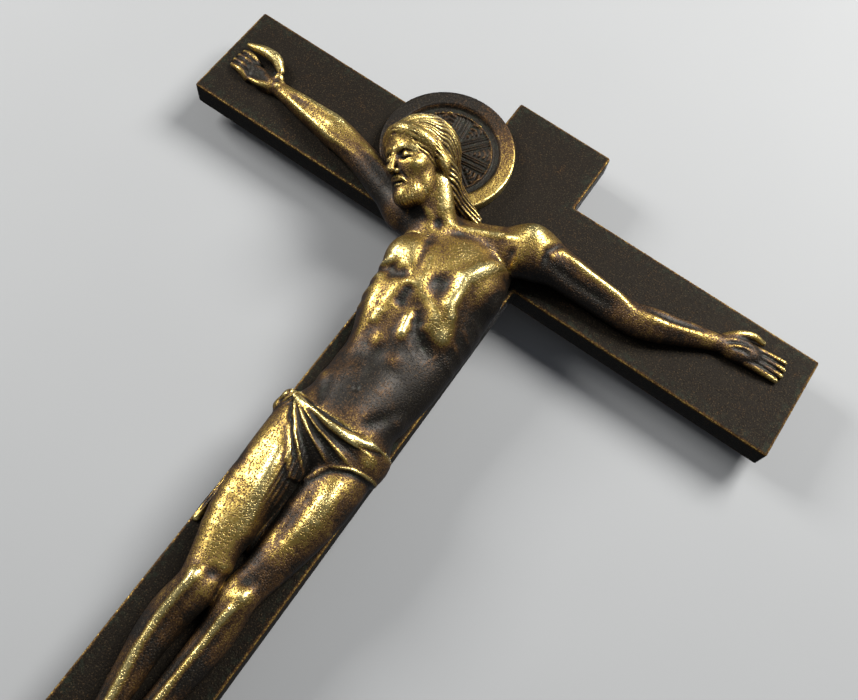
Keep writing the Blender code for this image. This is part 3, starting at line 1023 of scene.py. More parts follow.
@dataclass
class Clay:
    """A body of forms with marks on its skin.

    Attributes:
        head: the head's axes.
        forms: what it is built of, in order.
        marks: the strokes and dabs on it.
    """

    head: Axes
    forms: list[Form] = field(default_factory=list)
    marks: list[Mark | Combed] = field(default_factory=list)

    def distance(self, points: np.ndarray) -> np.ndarray:
        """Roughly how far each place lies outside the bare forms.

        Args:
            points: the places, in modules.

        Returns:
            The distances, which are negative inside.
        """
        found = np.full(len(points), FAR)
        for form in self.forms:
            there = form.distance(points)
            if form.hollow:
                found = -soft_least(-found, there, form.blend)
            else:
                found = soft_least(found, there, form.blend)
        return found

    def relief(self, points: np.ndarray) -> np.ndarray:
        """How high the marks stand at each place.

        Args:
            points: the places, in modules.

        Returns:
            The heights in modules.
        """
        local = self.head.local(points)
        heading = local / np.maximum(np.linalg.norm(local, axis=1, keepdims=True), 1e-6)
        charts = {Chart.FRONT: points[:, :2], Chart.HEAD: heading}
        total = np.zeros(len(points))
        for mark in self.marks:
            total += mark.relief(points, charts)
        return total

    def rough_mesh(
        self, name: str, layout: Layout, voxel: float, cuts: Sequence[Cut]
    ) -> bpy.types.Mesh:
        """A closed mesh of even faces over the forms.

        Args:
            name: the mesh's name.
            layout: where the figure is.
            voxel: the size of a face, in metres.
            cuts: planes, each a place and a direction in metres, past which all is cut away.

        Returns:
            The mesh.
        """
        bm = bmesh.new()
        for form in self.forms:
            if not form.hollow:
                form.rough_out(bm, layout.figure_space())
        mesh = with_modifier(mesh_from(bm, name), "REMESH", {"mode": "VOXEL", "voxel_size": voxel})
        bm = bmesh.new()
        bm.from_mesh(mesh)
        for place, outwards in cuts:
            cut = bmesh.ops.bisect_plane(
                bm, geom=[*bm.verts, *bm.edges, *bm.faces], dist=voxel / 50,
                plane_co=place, plane_no=outwards, clear_outer=True,
            )
            rims = [e for e in cut["geom_cut"] if isinstance(e, bmesh.types.BMEdge)]
            bmesh.ops.edgeloop_fill(bm, edges=rims)
        bm.to_mesh(mesh)
        bm.free()
        return mesh

    def model(
        self, name: str, layout: Layout, voxel: float, cuts: Sequence[Cut]
    ) -> bpy.types.Mesh:
        """Sculpt the mesh: pull it on to the melted forms, then raise its marks.

        Args:
            name: the mesh's name.
            layout: where the figure is.
            voxel: the size of a face, in metres.
            cuts: planes past which all is cut away.

        Returns:
            The mesh, with its wear and hollow numbers.
        """
        mesh = self.rough_mesh(name, layout, voxel, cuts)
        held = self.on_planes(mesh, cuts, voxel)
        neighbours = Neighbours(mesh)
        for rounds in (3, 2, 1, 0):
            places = vertex_places(mesh)
            points = layout.to_modules(places)
            normals = vertex_normals(mesh)
            normals[held] = 0
            step = np.clip(self.distance(points), -PULL, PULL) * layout.module
            moved = places - normals * step[:, None]
            free = neighbours.smooth(moved, rounds) if rounds else moved
            free[held] = places[held]
            set_places(mesh, free)
        places = vertex_places(mesh)
        normals = vertex_normals(mesh)
        normals[held] = 0
        raised = self.relief(layout.to_modules(places)) * layout.module
        set_places(mesh, places + normals * raised[:, None])
        return mesh

    @staticmethod
    def on_planes(mesh: bpy.types.Mesh, cuts: Sequence[Cut], voxel: float) -> np.ndarray:
        """Find the vertices that lie on a cut, and stay there.

        Args:
            mesh: the cut mesh.
            cuts: the planes.
            voxel: the size of a face, in metres.

        Returns:
            Whether each vertex stays.
        """
        places = vertex_places(mesh)
        held = np.zeros(len(places), bool)
        for place, outwards in cuts:
            held |= np.abs((places - np.array(place)) @ np.array(outwards)) < voxel / 20
        return held


@dataclass(frozen=True)
class Rubbing:
    """How hands have rubbed the figure: what is bright and what stays dark.

    Attributes:
        dabs: places (x, z) that are more or less rubbed than their shape says.
        scales: rounds of smoothing that a crest or a dip is measured against.
        plain: bulge that counts as one unit of crest, in modules, for one round of smoothing.
    """

    dabs: tuple[tuple[float, float, float, float], ...]
    scales: tuple[int, ...] = (4, 16, 60)
    plain: float = 0.0012

    def add_numbers(self, mesh: bpy.types.Mesh, layout: Layout) -> None:
        """Work out the wear and hollow numbers of a sculpted mesh.

        Args:
            mesh: the mesh.
            layout: where the figure is.
        """
        neighbours = Neighbours(mesh)
        places = vertex_places(mesh)
        normals = vertex_normals(mesh)
        points = layout.to_modules(places)
        crest = np.zeros(len(places))
        dip = np.zeros(len(places))
        smoothed = places
        for rounds in self.scales:
            smoothed = neighbours.smooth(smoothed, rounds)
            bulge = ((places - smoothed) * normals).sum(axis=1) / layout.module
            crest += np.clip(bulge / (self.plain * math.sqrt(rounds)), -1.5, 1.5)
            dip += np.clip(-bulge / (self.plain * math.sqrt(rounds)), 0, 1)
        facing = -normals[:, 1]
        out = np.clip(points[:, 2] - 0.22, -0.25, 0.30)
        wear = 0.30 + 0.16 * crest + 0.55 * out + 0.22 * (facing - 0.6)
        for x, z, width, amount in self.dabs:
            gap = np.hypot(points[:, 0] - x, points[:, 1] - z)
            wear += amount * np.exp(-((gap / width) ** 2))
        set_number(mesh, "wear", np.clip(neighbours.smooth(wear, 2), 0, 1.2))
        set_number(mesh, "hollow", np.clip(dip / 2, 0, 1))


# ---------------------------------------------------------------------------------------------
# The figure


# Places (x, z) that are more, or less, rubbed than their shape says: x, z, width, amount.
RUBBED_PLACES = (
    (0.12, -0.62, 0.32, 0.14), (0.30, -0.60, 0.14, 0.18), (0.18, -0.95, 0.12, 0.14),
    (0.28, -1.36, 0.11, 0.24), (-0.45, -1.00, 0.15, 0.14), (-0.40, -1.40, 0.11, 0.14),
    (0.00, -1.50, 0.07, 0.18), (-0.25, -1.56, 0.07, 0.10), (0.52, -0.80, 0.15, -0.50),
    (0.52, -1.10, 0.16, -0.50), (0.54, -1.45, 0.18, -0.50), (0.52, -1.85, 0.20, -0.45),
    (0.48, -2.20, 0.14, -0.30), (0.02, -1.03, 0.09, -0.30), (0.16, -1.60, 0.16, -0.26),
    (0.10, -1.95, 0.28, -0.24), (-0.06, -2.20, 0.25, -0.14), (-0.18, -1.28, 0.08, -0.22),
    (-0.55, -0.52, 0.12, -0.35), (-0.02, -2.74, 0.17, -0.40), (0.04, -2.62, 0.12, -0.30),
    (0.04, -3.00, 0.13, -0.45), (0.08, -3.25, 0.11, -0.40), (0.06, -3.60, 0.11, -0.35),
    (0.04, -4.20, 0.10, -0.30), (-0.46, -3.10, 0.12, -0.40), (-0.48, -3.45, 0.10, -0.30),
    (-0.24, -3.00, 0.30, 0.20), (-0.14, -3.50, 0.26, 0.18), (0.34, -3.05, 0.22, 0.12),
    (0.30, -3.45, 0.18, 0.06), (0.52, -3.00, 0.12, -0.25), (0.46, -3.50, 0.12, -0.25),
    (0.42, -0.14, 0.20, 0.15), (-0.95, -0.42, 0.35, -0.34), (0.62, -0.36, 0.26, -0.34),
    (1.10, -0.32, 0.25, -0.30), (1.78, 0.02, 0.30, -0.24), (-1.75, -0.20, 0.34, 0.12),
    (-2.62, 0.10, 0.14, 0.20), (-2.62, -0.12, 0.12, -0.35), (-2.85, -0.08, 0.16, -0.35),
    (-0.42, -0.38, 0.08, 0.20), (0.20, -4.60, 0.15, -0.18), (0.18, -5.00, 0.15, -0.16),
    (0.05, -2.00, 0.35, -0.10), (2.40, 0.14, 0.16, -0.30), (2.62, 0.20, 0.16, -0.26),
    (-0.28, -4.50, 0.12, -0.30), (0.00, -4.55, 0.10, -0.30), (0.34, -4.50, 0.12, -0.30),
    (0.10, -4.95, 0.10, -0.25), (-0.24, -5.00, 0.12, -0.25), (0.24, -3.68, 0.12, -0.20),
    (0.20, -2.66, 0.12, -0.16), (-0.10, -2.30, 0.20, -0.16), (0.30, -2.25, 0.16, -0.16),
    (-0.06, -4.00, 0.05, -0.12),
)

RUBBED_HEAD = (
    (-0.64, 0.02, 0.14, 0.04), (-0.97, 0.00, 0.16, 0.08), (-0.74, -0.16, 0.12, 0.06),
    (-0.96, -0.14, 0.10, 0.06), (-0.84, -0.42, 0.12, -0.10), (-0.40, -0.30, 0.14, -0.12),
    (-0.85, -0.61, 0.12, -0.24),
)


def fan(
    start: tuple[float, float], ends: Sequence[tuple[float, float]], sag: float = 0.0
) -> list[Line]:
    """Draw lines that radiate from one point.

    Args:
        start: the point.
        ends: the lines' other ends.
        sag: how far each line is bowed down at its middle.

    Returns:
        The lines.
    """
    lines = []
    for end in ends:
        middle = ((start[0] + end[0]) / 2, (start[1] + end[1]) / 2 - sag)
        lines.append((start, middle, end))
    return lines


@dataclass
class Corpus:
    """The figure in relief: trunk and arms, legs and cloth, and head.

    Attributes:
        layout: where the frame's pieces are.
        trunk_voxel: size of a face on the trunk and arms.
        leg_voxel: size of a face on the legs and the cloth.
        head_voxel: size of a face on the head.
        waist: z at which the trunk and the legs meet under the cloth, in modules.
        overlap: how far past the waist each of them runs, in modules.
        embed: how far the figure's back sinks into the plate's face.
        head: the middle of the head, where it looks and where its crown points.
    """

    layout: Layout
    trunk_voxel: float = 0.00027
    leg_voxel: float = 0.00024
    head_voxel: float = 0.00016
    waist: float = -2.44
    overlap: float = 0.02
    embed: float = 0.00005
    head: Axes = Axes((-0.78, -0.17, 0.38), (-0.49, -0.59, 0.64), (-0.47, 0.86, 0.10))

    def trunk_forms(self) -> list[Form]:
        """Ribs, breast, belly and shoulders.

        Returns:
            The forms, in the order that they melt together.
        """
        return [
            Mass((-0.02, -1.08, 0.08), (0.49, 0.76, 0.40), lean=-8),  # rib cage
            Mass((0.31, -1.22, 0.04), (0.21, 0.86, 0.24), lean=-1),  # left flank
            Mass((0.18, -0.80, 0.20), (0.36, 0.27, 0.26), 0.07, lean=-12),  # left breast
            Mass((-0.27, -0.92, 0.20), (0.30, 0.26, 0.25), 0.07, lean=-14),  # right breast
            Mass((0.06, -1.86, 0.06), (0.43, 0.72, 0.29), 0.12, lean=-4),  # waist
            Mass((0.04, -2.26, 0.13), (0.38, 0.40, 0.27), 0.12),  # belly
            Mass((0.04, -2.52, 0.09), (0.49, 0.36, 0.33)),  # hips
            Mass((0.46, -0.19, 0.16), (0.24, 0.21, 0.22)),  # left shoulder
            Mass((-0.68, -0.50, 0.13), (0.19, 0.16, 0.16)),  # right shoulder
            Limb(((-0.34, -0.52, 0.13, 0.18), (0.08, -0.34, 0.14, 0.17), (0.44, -0.18, 0.16, 0.20)),
                 0.10),
            Limb(((-0.34, -0.56, 0.15, 0.18), (-0.66, -0.51, 0.13, 0.15)), 0.10),  # right collar
            # hollow under the rib arch
            Mass((-0.07, -1.42, 0.56), (0.16, 0.34, 0.15), 0.12, lean=-22, hollow=True),
        ]

    def neck_forms(self) -> list[Form]:
        """The neck and its two cords.

        Returns:
            The forms.
        """
        return [
            Limb(((-0.24, -0.70, 0.14, 0.22), (-0.46, -0.42, 0.25, 0.19), (-0.64, -0.22, 0.34, 0.19)),
                 0.10),
            Limb(((-0.27, -0.50, 0.26, 0.050), (-0.38, -0.38, 0.36, 0.080),
                  (-0.50, -0.24, 0.42, 0.080)), 0.10),
            Limb(((-0.36, -0.56, 0.28, 0.030), (-0.46, -0.47, 0.36, 0.040),
                  (-0.56, -0.36, 0.44, 0.035)), 0.06),
        ]

    def left_arm(self) -> list[Form]:
        """The arm to the viewer's right, with its hand.

        Returns:
            The forms.
        """
        arm = Limb((
            (0.42, -0.20, 0.17, 0.21), (0.70, -0.17, 0.15, 0.185), (1.05, -0.17, 0.12, 0.165),
            (1.40, -0.17, 0.09, 0.145), (1.62, -0.12, 0.09, 0.150), (1.90, -0.01, 0.07, 0.115),
            (2.16, 0.10, 0.05, 0.082), (2.30, 0.14, 0.04, 0.080),
        ), 0.10)
        palm = Mass((2.40, 0.165, 0.045), (0.19, 0.115, 0.085), 0.06, lean=10)
        thumb = Limb(((2.24, 0.20, 0.05, 0.050), (2.33, 0.29, 0.07, 0.044), (2.43, 0.34, 0.07, 0.036),
                      (2.53, 0.35, 0.04, 0.024)), 0.03)
        return [arm, palm, thumb, *self.fingers((2.48, 0.17), (2.80, 0.21), 0.052, 0.064, 0.055, 0.045)]

    def right_arm(self) -> list[Form]:
        """The arm to the viewer's left, with its hand.

        Returns:
            The forms.
        """
        arm = Limb((
            (-0.64, -0.50, 0.13, 0.17), (-0.95, -0.41, 0.12, 0.155), (-1.20, -0.32, 0.11, 0.145),
            (-1.40, -0.26, 0.10, 0.140), (-1.66, -0.20, 0.09, 0.140), (-2.00, -0.16, 0.07, 0.110),
            (-2.30, -0.125, 0.05, 0.078), (-2.42, -0.11, 0.04, 0.075),
        ), 0.10)
        palm = Mass((-2.56, -0.10, 0.02), (0.19, 0.12, 0.075), 0.05, lean=-8)
        wrist = Mass((-2.42, -0.04, 0.08), (0.05, 0.04, 0.04), 0.03)
        thumb = Limb((
            (-2.46, 0.03, 0.07, 0.042), (-2.56, 0.10, 0.09, 0.058), (-2.70, 0.11, 0.09, 0.050),
            (-2.80, 0.10, 0.07, 0.038), (-2.88, 0.10, 0.05, 0.022),
        ), 0.02)
        heel = Limb(((-2.44, -0.15, 0.06, 0.030), (-2.54, -0.19, 0.07, 0.030),
                     (-2.64, -0.19, 0.05, 0.026)), 0.03)
        return [arm, palm, wrist, thumb, heel,
                *self.fingers((-2.68, -0.10), (-2.90, -0.06), 0.062, 0.060, 0.03, 0.055)]

    @staticmethod
    def fingers(root: tuple[float, float], tip: tuple[float, float], near: float, far: float,
                low: float, high: float) -> list[Form]:
        """Four fingers side by side.

        Args:
            root: middle of the knuckles.
            tip: middle of the fingertips.
            near: from one finger to the next at the knuckles.
            far: the same at the tips.
            low: height at the knuckles.
            high: height at the middle joints.

        Returns:
            The fingers.
        """
        found = []
        for index in (-1.5, -0.5, 0.5, 1.5):
            short = 1 - 0.06 * abs(index + 0.2)
            start = (root[0], root[1] + index * near)
            end = (root[0] + (tip[0] - root[0]) * short, tip[1] + index * far)
            middle = ((start[0] + end[0]) / 2, (start[1] + end[1]) / 2)
            stations = ((*start, low, 0.034), (*middle, high, 0.031), (*end, low * 0.5, 0.024))
            found.append(Limb(stations, 0.012, 1.0))
        return found

    def leg_forms(self) -> list[Form]:
        """Thighs, knees, shins and feet, the right foot over the left.

        Returns:
            The forms, the two legs first.
        """
        right = Limb((
            (-0.20, -2.62, 0.14, 0.27), (-0.20, -3.05, 0.18, 0.25), (-0.20, -3.45, 0.18, 0.21),
            (-0.13, -3.82, 0.20, 0.165), (-0.09, -4.03, 0.22, 0.160), (-0.14, -4.30, 0.14, 0.165),
            (-0.14, -4.55, 0.13, 0.150), (-0.08, -4.98, 0.13, 0.110), (-0.02, -5.42, 0.17, 0.090),
        ), 0.07)
        left = Limb((
            (0.27, -2.62, 0.12, 0.24), (0.29, -3.00, 0.16, 0.23), (0.27, -3.40, 0.14, 0.19),
            (0.23, -3.75, 0.14, 0.150), (0.21, -3.94, 0.17, 0.145), (0.23, -4.22, 0.10, 0.145),
            (0.22, -4.50, 0.09, 0.130), (0.18, -4.95, 0.08, 0.100), (0.12, -5.40, 0.08, 0.085),
        ), 0.05)
        right_foot = Limb(((-0.02, -5.42, 0.17, 0.100), (0.02, -5.75, 0.19, 0.115),
                           (0.05, -5.94, 0.14, 0.085)), 0.06)
        left_foot = Limb(((0.12, -5.40, 0.08, 0.090), (0.13, -5.75, 0.07, 0.100),
                          (0.13, -5.94, 0.06, 0.080)), 0.05)
        right_toes = self.toes((0.050, -5.985, 0.165), 0.036, 0.030)
        left_toes = self.toes((0.135, -5.985, 0.080), 0.030, 0.026)
        return [right, left, right_foot, left_foot, *right_toes, *left_toes]

    @staticmethod
    def toes(first: Place, apart: float, radius: float) -> list[Form]:
        """Five toes, side by side at the front of a foot.

        Args:
            first: x of the middle toe, z of the largest, and their height.
            apart: from one toe to the next.
            radius: the largest toe's radius.

        Returns:
            The toes, the largest first.
        """
        x, z, height = first
        found = []
        for index in range(5):
            size = radius * (1.15 - 0.11 * index)
            centre = (x + (2 - index) * apart * 0.9, z + 0.012 * index, height)
            found.append(Mass(centre, (size, size * 1.5, size * 1.3), 0.008))
        return found

    def cloth_forms(self) -> list[Form]:
        """The cloth's rolled edge, its knot and the ends that hang.

        Returns:
            The forms.
        """
        return [
            Mass((0.05, -2.95, 0.02), (0.17, 0.66, 0.15), 0.08),  # cloth between the thighs
            Limb(((-0.36, -2.44, 0.28, 0.045), (-0.20, -2.50, 0.36, 0.030), (-0.02, -2.53, 0.40, 0.028),
                  (0.14, -2.51, 0.40, 0.036), (0.28, -2.46, 0.36, 0.046), (0.42, -2.38, 0.26, 0.048),
                  (0.53, -2.30, 0.10, 0.050)), 0.03, 1.0),
            Mass((-0.42, -2.46, 0.22), (0.060, 0.085, 0.080), 0.06, lean=-30),  # the knot, in four lumps
            Mass((-0.36, -2.40, 0.27), (0.045, 0.060, 0.050), 0.05, lean=-50),
            Mass((-0.46, -2.55, 0.17), (0.045, 0.065, 0.060), 0.04, lean=-20),
            Mass((-0.33, -2.48, 0.30), (0.040, 0.060, 0.045), 0.05, lean=20),
            Limb(((-0.44, -2.60, 0.02, 0.050), (-0.44, -3.00, 0.00, 0.025), (-0.46, -3.40, 0.00, 0.040),
                  (-0.46, -3.62, 0.00, 0.036)), 0.03),
        ]

    def trunk_marks(self) -> list[Mark]:
        """Collarbones, breast, rib arch, ribs and belly.

        Returns:
            The marks.
        """
        marks: list[Mark] = [
            # left collarbone
            Stroke(((-0.28, -0.50), (-0.05, -0.38), (0.18, -0.27), (0.34, -0.24)), 0.038, 0.017),
            Stroke(((-0.20, -0.53), (0.02, -0.45), (0.22, -0.38)), 0.050, -0.010),
            Stroke(((-0.37, -0.55), (-0.52, -0.50), (-0.66, -0.44)), 0.032, 0.014),  # right collarbone
            Dab((-0.32, -0.545), 0.045, -0.026),  # pit of the throat
            Stroke(((-0.30, -0.62), (-0.25, -0.88), (-0.19, -1.12)), 0.055, -0.018),  # breastbone
            Stroke(((0.40, -0.40), (0.28, -0.62), (0.17, -0.88), (0.20, -1.14), (0.33, -1.34)), 0.068,
                   0.048, fade=0.15),
            Stroke(((0.52, -0.62), (0.46, -0.90), (0.48, -1.20)), 0.090, -0.026),  # armpit
            Dab((0.02, -1.03), 0.100, -0.050),
            Stroke(((-0.22, -1.10), (-0.36, -1.15), (-0.48, -1.08)), 0.060, -0.024),
            Stroke(((-0.50, -0.80), (-0.47, -1.10), (-0.40, -1.38), (-0.30, -1.65), (-0.25, -1.92)),
                   0.055, 0.026),
            Stroke(((-0.10, -1.16), (0.10, -1.24), (0.24, -1.34)), 0.060, 0.020),
            Dab((0.28, -1.38), 0.090, 0.048),
            Stroke(((-0.02, -1.32), (0.10, -1.47), (0.32, -1.58)), 0.075, -0.044),
            Stroke(((-0.18, -1.16), (-0.15, -1.40)), 0.060, -0.030),
            Stroke(((-0.03, -1.34), (0.00, -1.50), (0.02, -1.62)), 0.045, 0.034),
            Stroke(((-0.26, -1.44), (-0.24, -1.62)), 0.045, 0.018),
            Stroke(((-0.08, -1.66), (-0.03, -1.95), (0.00, -2.10)), 0.050, -0.006),
            Dab((-0.13, -1.70), 0.070, 0.020),
            Dab((0.09, -1.76), 0.080, 0.020),
            Dab((0.15, -2.02), 0.110, 0.012),
            Dab((-0.12, -2.02), 0.090, 0.010),
            Dab((0.10, -2.28), 0.150, 0.018),
            Dab((-0.01, -2.15), 0.030, -0.014),  # navel
            Stroke(((-0.28, -2.05), (-0.24, -2.26), (-0.16, -2.44)), 0.055, -0.018),
            Stroke(((0.42, -2.00), (0.32, -2.20), (0.20, -2.40)), 0.055, -0.020),
            Dab((0.40, -2.14), 0.090, 0.020),
            Dab((-0.29, -2.16), 0.080, 0.020),
            Stroke(((0.30, -0.32), (0.36, -0.50)), 0.040, -0.014),
        ]
        for row in range(4):
            top = -1.02 - 0.14 * row
            left_rib = ((0.38, top - 0.04), (0.47, top - 0.08), (0.53, top - 0.09))
            right_rib = ((-0.42, top - 0.02), (-0.49, top - 0.07), (-0.54, top - 0.08))
            marks.append(Stroke(left_rib, 0.034, 0.009))
            marks.append(Stroke(right_rib, 0.030, 0.010))
        return marks

    def arm_marks(self) -> list[Mark]:
        """Muscles and sinews of the arms, and creases of the hands.

        Returns:
            The marks.
        """
        return [
            Dab((0.38, -0.10), 0.09, 0.030),
            # left upper arm
            Stroke(((0.62, -0.10), (0.95, -0.12), (1.30, -0.12), (1.46, -0.14)), 0.045, 0.034),
            Stroke(((0.60, -0.26), (0.95, -0.26), (1.34, -0.24)), 0.050, -0.026),
            Stroke(((0.64, -0.02), (0.58, -0.20), (0.62, -0.34)), 0.040, -0.022),
            Stroke(((1.52, -0.02), (1.78, 0.02), (2.06, 0.14)), 0.040, 0.014),  # left forearm
            Stroke(((1.48, -0.16), (1.76, -0.08), (2.10, 0.07)), 0.040, 0.014),
            Stroke(((1.44, -0.07), (1.74, -0.02), (2.06, 0.10)), 0.040, -0.014),
            Stroke(((2.24, 0.12), (2.36, 0.20), (2.46, 0.22)), 0.022, -0.020),  # left palm
            Stroke(((2.30, 0.10), (2.40, 0.14), (2.48, 0.14)), 0.020, -0.014),
            Stroke(((-0.84, -0.38), (-1.16, -0.27), (-1.38, -0.20)), 0.040, 0.018),  # right upper arm
            # right forearm
            Stroke(((-1.46, -0.17), (-1.72, -0.12), (-2.06, -0.10), (-2.30, -0.09)), 0.035, 0.018),
            Stroke(((-1.36, -0.34), (-1.66, -0.31), (-2.02, -0.23), (-2.32, -0.16)), 0.026, 0.014),
            Dab((-1.70, -0.20), 0.12, 0.014),
            Stroke(((-2.46, -0.06), (-2.58, 0.00), (-2.72, 0.01)), 0.035, -0.026),  # right palm
            Dab((-2.60, -0.10), 0.07, -0.028),
            Dab((-2.37, -0.13), 0.025, 0.018),
            Dab((-2.36, -0.07), 0.022, 0.016),
        ]

    def leg_marks(self) -> list[Mark]:
        """Ridges of the thighs, kneecaps, shins and ankles.

        Returns:
            The marks.
        """
        marks: list[Mark] = [
            # right thigh
            Stroke(((-0.22, -2.74), (-0.14, -3.10), (-0.06, -3.45), (-0.01, -3.78)), 0.070, 0.036),
            Stroke(((-0.30, -2.90), (-0.30, -3.20), (-0.22, -3.56)), 0.080, -0.016),
            Stroke(((0.33, -2.80), (0.35, -3.10), (0.33, -3.40)), 0.080, 0.026),  # left thigh
            Stroke(((0.20, -2.90), (0.20, -3.20), (0.20, -3.55)), 0.060, -0.018),
            Dab((-0.13, -3.98), 0.060, 0.030),  # right knee
            Dab((-0.03, -3.90), 0.060, -0.026),
            Dab((0.03, -3.80), 0.060, 0.018),
            Stroke(((-0.12, -3.98), (-0.14, -4.14), (-0.16, -4.36), (-0.14, -4.62), (-0.08, -4.98),
                    (-0.02, -5.36)), 0.038, 0.034, fade=0.06),  # right shin
            Stroke(((-0.27, -4.20), (-0.29, -4.46), (-0.20, -4.90)), 0.060, -0.014),
            Dab((0.25, -3.90), 0.060, 0.022),  # left knee
            Dab((0.20, -3.80), 0.060, -0.016),
            Stroke(((0.25, -3.94), (0.22, -4.12), (0.21, -4.40), (0.19, -4.80),
                    (0.14, -5.30)), 0.034, 0.030, fade=0.06),  # left shin
            Dab((0.06, -5.44), 0.045, 0.009),  # ankles
            Dab((-0.11, -5.42), 0.045, 0.009),
        ]
        for index in range(4):
            x = -0.03 + 0.034 * index
            marks.append(Stroke(((x * 0.6, -5.56), (x + 0.02, -5.88)), 0.014, 0.010))
        return marks

    def cloth_marks(self) -> list[Mark]:
        """The cloth's area, its hem and the folds that run from the knot.

        Returns:
            The marks.
        """
        outline = (
            (-0.40, -2.44), (-0.05, -2.50), (0.30, -2.46), (0.60, -2.30), (0.62, -2.64), (0.50, -2.66),
            (0.34, -2.70), (0.20, -2.78), (0.10, -2.96), (-0.02, -3.02), (-0.12, -2.92), (-0.22, -2.66),
        )
        marks: list[Mark] = [Patch(outline, 0.022, 0.020)]
        knot = (-0.38, -2.46)
        hem = ((0.42, -2.52), (0.32, -2.67), (0.17, -2.75), (0.04, -2.93), (-0.07, -2.92))
        ridges = fan(knot, hem, 0.03)
        grooves = fan(knot, ((0.36, -2.60), (0.24, -2.71), (0.10, -2.86), (-0.02, -2.95)), 0.03)
        widths = (0.020, 0.016, 0.015, 0.014, 0.014)
        marks += [Stroke(line, width, 0.022, fade=0.3) for line, width in zip(ridges, widths)]
        marks += [Stroke(line, 0.026, -0.018, fade=0.3) for line in grooves]
        marks += [
            Stroke(((0.22, -2.75), (0.34, -2.69), (0.54, -2.635)), 0.014, 0.010),
            Stroke(((-0.34, -2.54), (-0.24, -2.70), (-0.12, -2.90)), 0.020, 0.008),
            Dab((0.40, -2.56), 0.06, 0.020),
            Stroke(((-0.36, -2.52), (-0.30, -2.62), (-0.22, -2.70)), 0.016, -0.02),
        ]
        for index in range(6):
            x = -0.15 + 0.035 * index
            hanging_fold = ((x, -2.66 - 0.02 * index), (x + 0.05, -3.0), (x + 0.07, -3.35))
            marks.append(Stroke(hanging_fold, 0.010, 0.006))
        for index in range(3):
            x = -0.50 + 0.030 * index
            marks.append(Stroke(((x, -3.20), (x, -3.62)), 0.010, -0.008))
            twist = -0.46 + 0.040 * index
            knot_fold = ((twist, -2.42), (twist + 0.03, -2.48), (twist - 0.01, -2.56))
            marks.append(Stroke(knot_fold, 0.011, -0.012))
        return marks

    def head_forms(self) -> tuple[list[Form], tuple[Form, ...]]:
        """The head: skull, face, beard, hair and the band of hair over the brow.

        Returns:
            The forms of the whole head, and those of its hair.
        """
        axes = self.head

        def mass(centre: Place, radii: Place, blend: float = 0.04, hollow: bool = False) -> Mass:
            """An ellipsoid on the head's axes."""
            return Mass(centre, radii, blend, axes=axes, hollow=hollow)

        def limb(stations: tuple[Station, ...], blend: float = 0.02) -> Limb:
            """A limb on the head's axes."""
            return Limb(stations, blend, 1.0, axes)

        forms: list[Form] = [
            mass((0, -0.06, 0.11), (0.26, 0.33, 0.30)),  # skull
            mass((0, 0.07, -0.06), (0.200, 0.225, 0.31), 0.06),  # face
            mass((0, 0.11, 0.13), (0.185, 0.185, 0.17), 0.06),  # forehead
            mass((0, 0.10, -0.28), (0.135, 0.165, 0.13), 0.06),  # jaw
            limb(((0, 0.285, 0.045, 0.026), (0, 0.325, -0.05, 0.026), (0, 0.350, -0.115, 0.032)), 0.03),
        ]
        for side in (-1, 1):
            forms += [
                mass((side * 0.098, 0.315, 0.005), (0.060, 0.075, 0.040), 0.035, True),  # eye socket
                mass((side * 0.092, 0.222, 0.000), (0.054, 0.058, 0.048), 0.012),  # eyeball under its lid
                mass((side * 0.125, 0.170, -0.075), (0.075, 0.080, 0.060), 0.06),  # cheekbone
                mass((side * 0.032, 0.312, -0.130), (0.024, 0.030, 0.022), 0.015),  # nostril
                limb(((side * 0.02, 0.283, 0.066, 0.022), (side * 0.09, 0.263, 0.074, 0.024),
                      (side * 0.155, 0.203, 0.050, 0.020)), 0.04),
                limb(((side * 0.010, 0.290, -0.176, 0.015), (side * 0.052, 0.272, -0.190, 0.018),
                      (side * 0.092, 0.222, -0.235, 0.012)), 0.02),
                mass((side * 0.090, 0.120, -0.305), (0.060, 0.100, 0.085), 0.05),  # beard beside the chin
                mass((side * 0.155, 0.050, -0.200), (0.050, 0.080, 0.110), 0.05),  # beard before the ear
            ]
        forms += [
            mass((0, 0.270, -0.205), (0.050, 0.032, 0.016), 0.018),  # upper lip
            mass((0, 0.264, -0.238), (0.042, 0.032, 0.018), 0.018),  # lower lip
            mass((0, 0.205, -0.340), (0.090, 0.092, 0.085), 0.05),  # beard on the chin
        ]
        hair = (
            mass((0, -0.075, 0.130), (0.290, 0.350, 0.310), 0.015),  # cap of hair
            limb(((-0.235, 0.06, -0.01, 0.055), (-0.245, -0.02, -0.14, 0.075),
                  (-0.215, -0.06, -0.30, 0.085), (-0.18, -0.08, -0.46, 0.070)), 0.05),
            limb(((0, -0.30, -0.02, 0.16), (0.02, -0.28, -0.28, 0.15), (0.06, -0.26, -0.44, 0.10)),
                 0.06),
            limb(((0.262, -0.06, -0.02, 0.050), (0.235, -0.14, -0.16, 0.080),
                  (0.18, -0.20, -0.30, 0.080)), 0.06),
            Limb(((-0.56, -0.14, 0.38, 0.080), (-0.40, -0.17, 0.30, 0.085), (-0.24, -0.21, 0.22, 0.070),
                  (-0.10, -0.24, 0.20, 0.040)), 0.06),
        )
        opening = mass((0, 0.44, -0.08), (0.255, 0.33, 0.34), 0.015, True)
        band = (
            limb(((-0.235, 0.06, 0.06, 0.045), (-0.17, 0.19, 0.185, 0.055), (0, 0.255, 0.250, 0.060),
                  (0.17, 0.19, 0.185, 0.058), (0.250, 0.05, 0.060, 0.052),
                  (0.276, -0.03, -0.05, 0.044)), 0.05),
            limb(((0.270, 0.01, -0.03, 0.030), (0.285, -0.02, -0.09, 0.034),
                  (0.270, -0.05, -0.15, 0.014)), 0.03),
        )
        return [hair[0], opening, *forms, *hair[1:], *band], hair

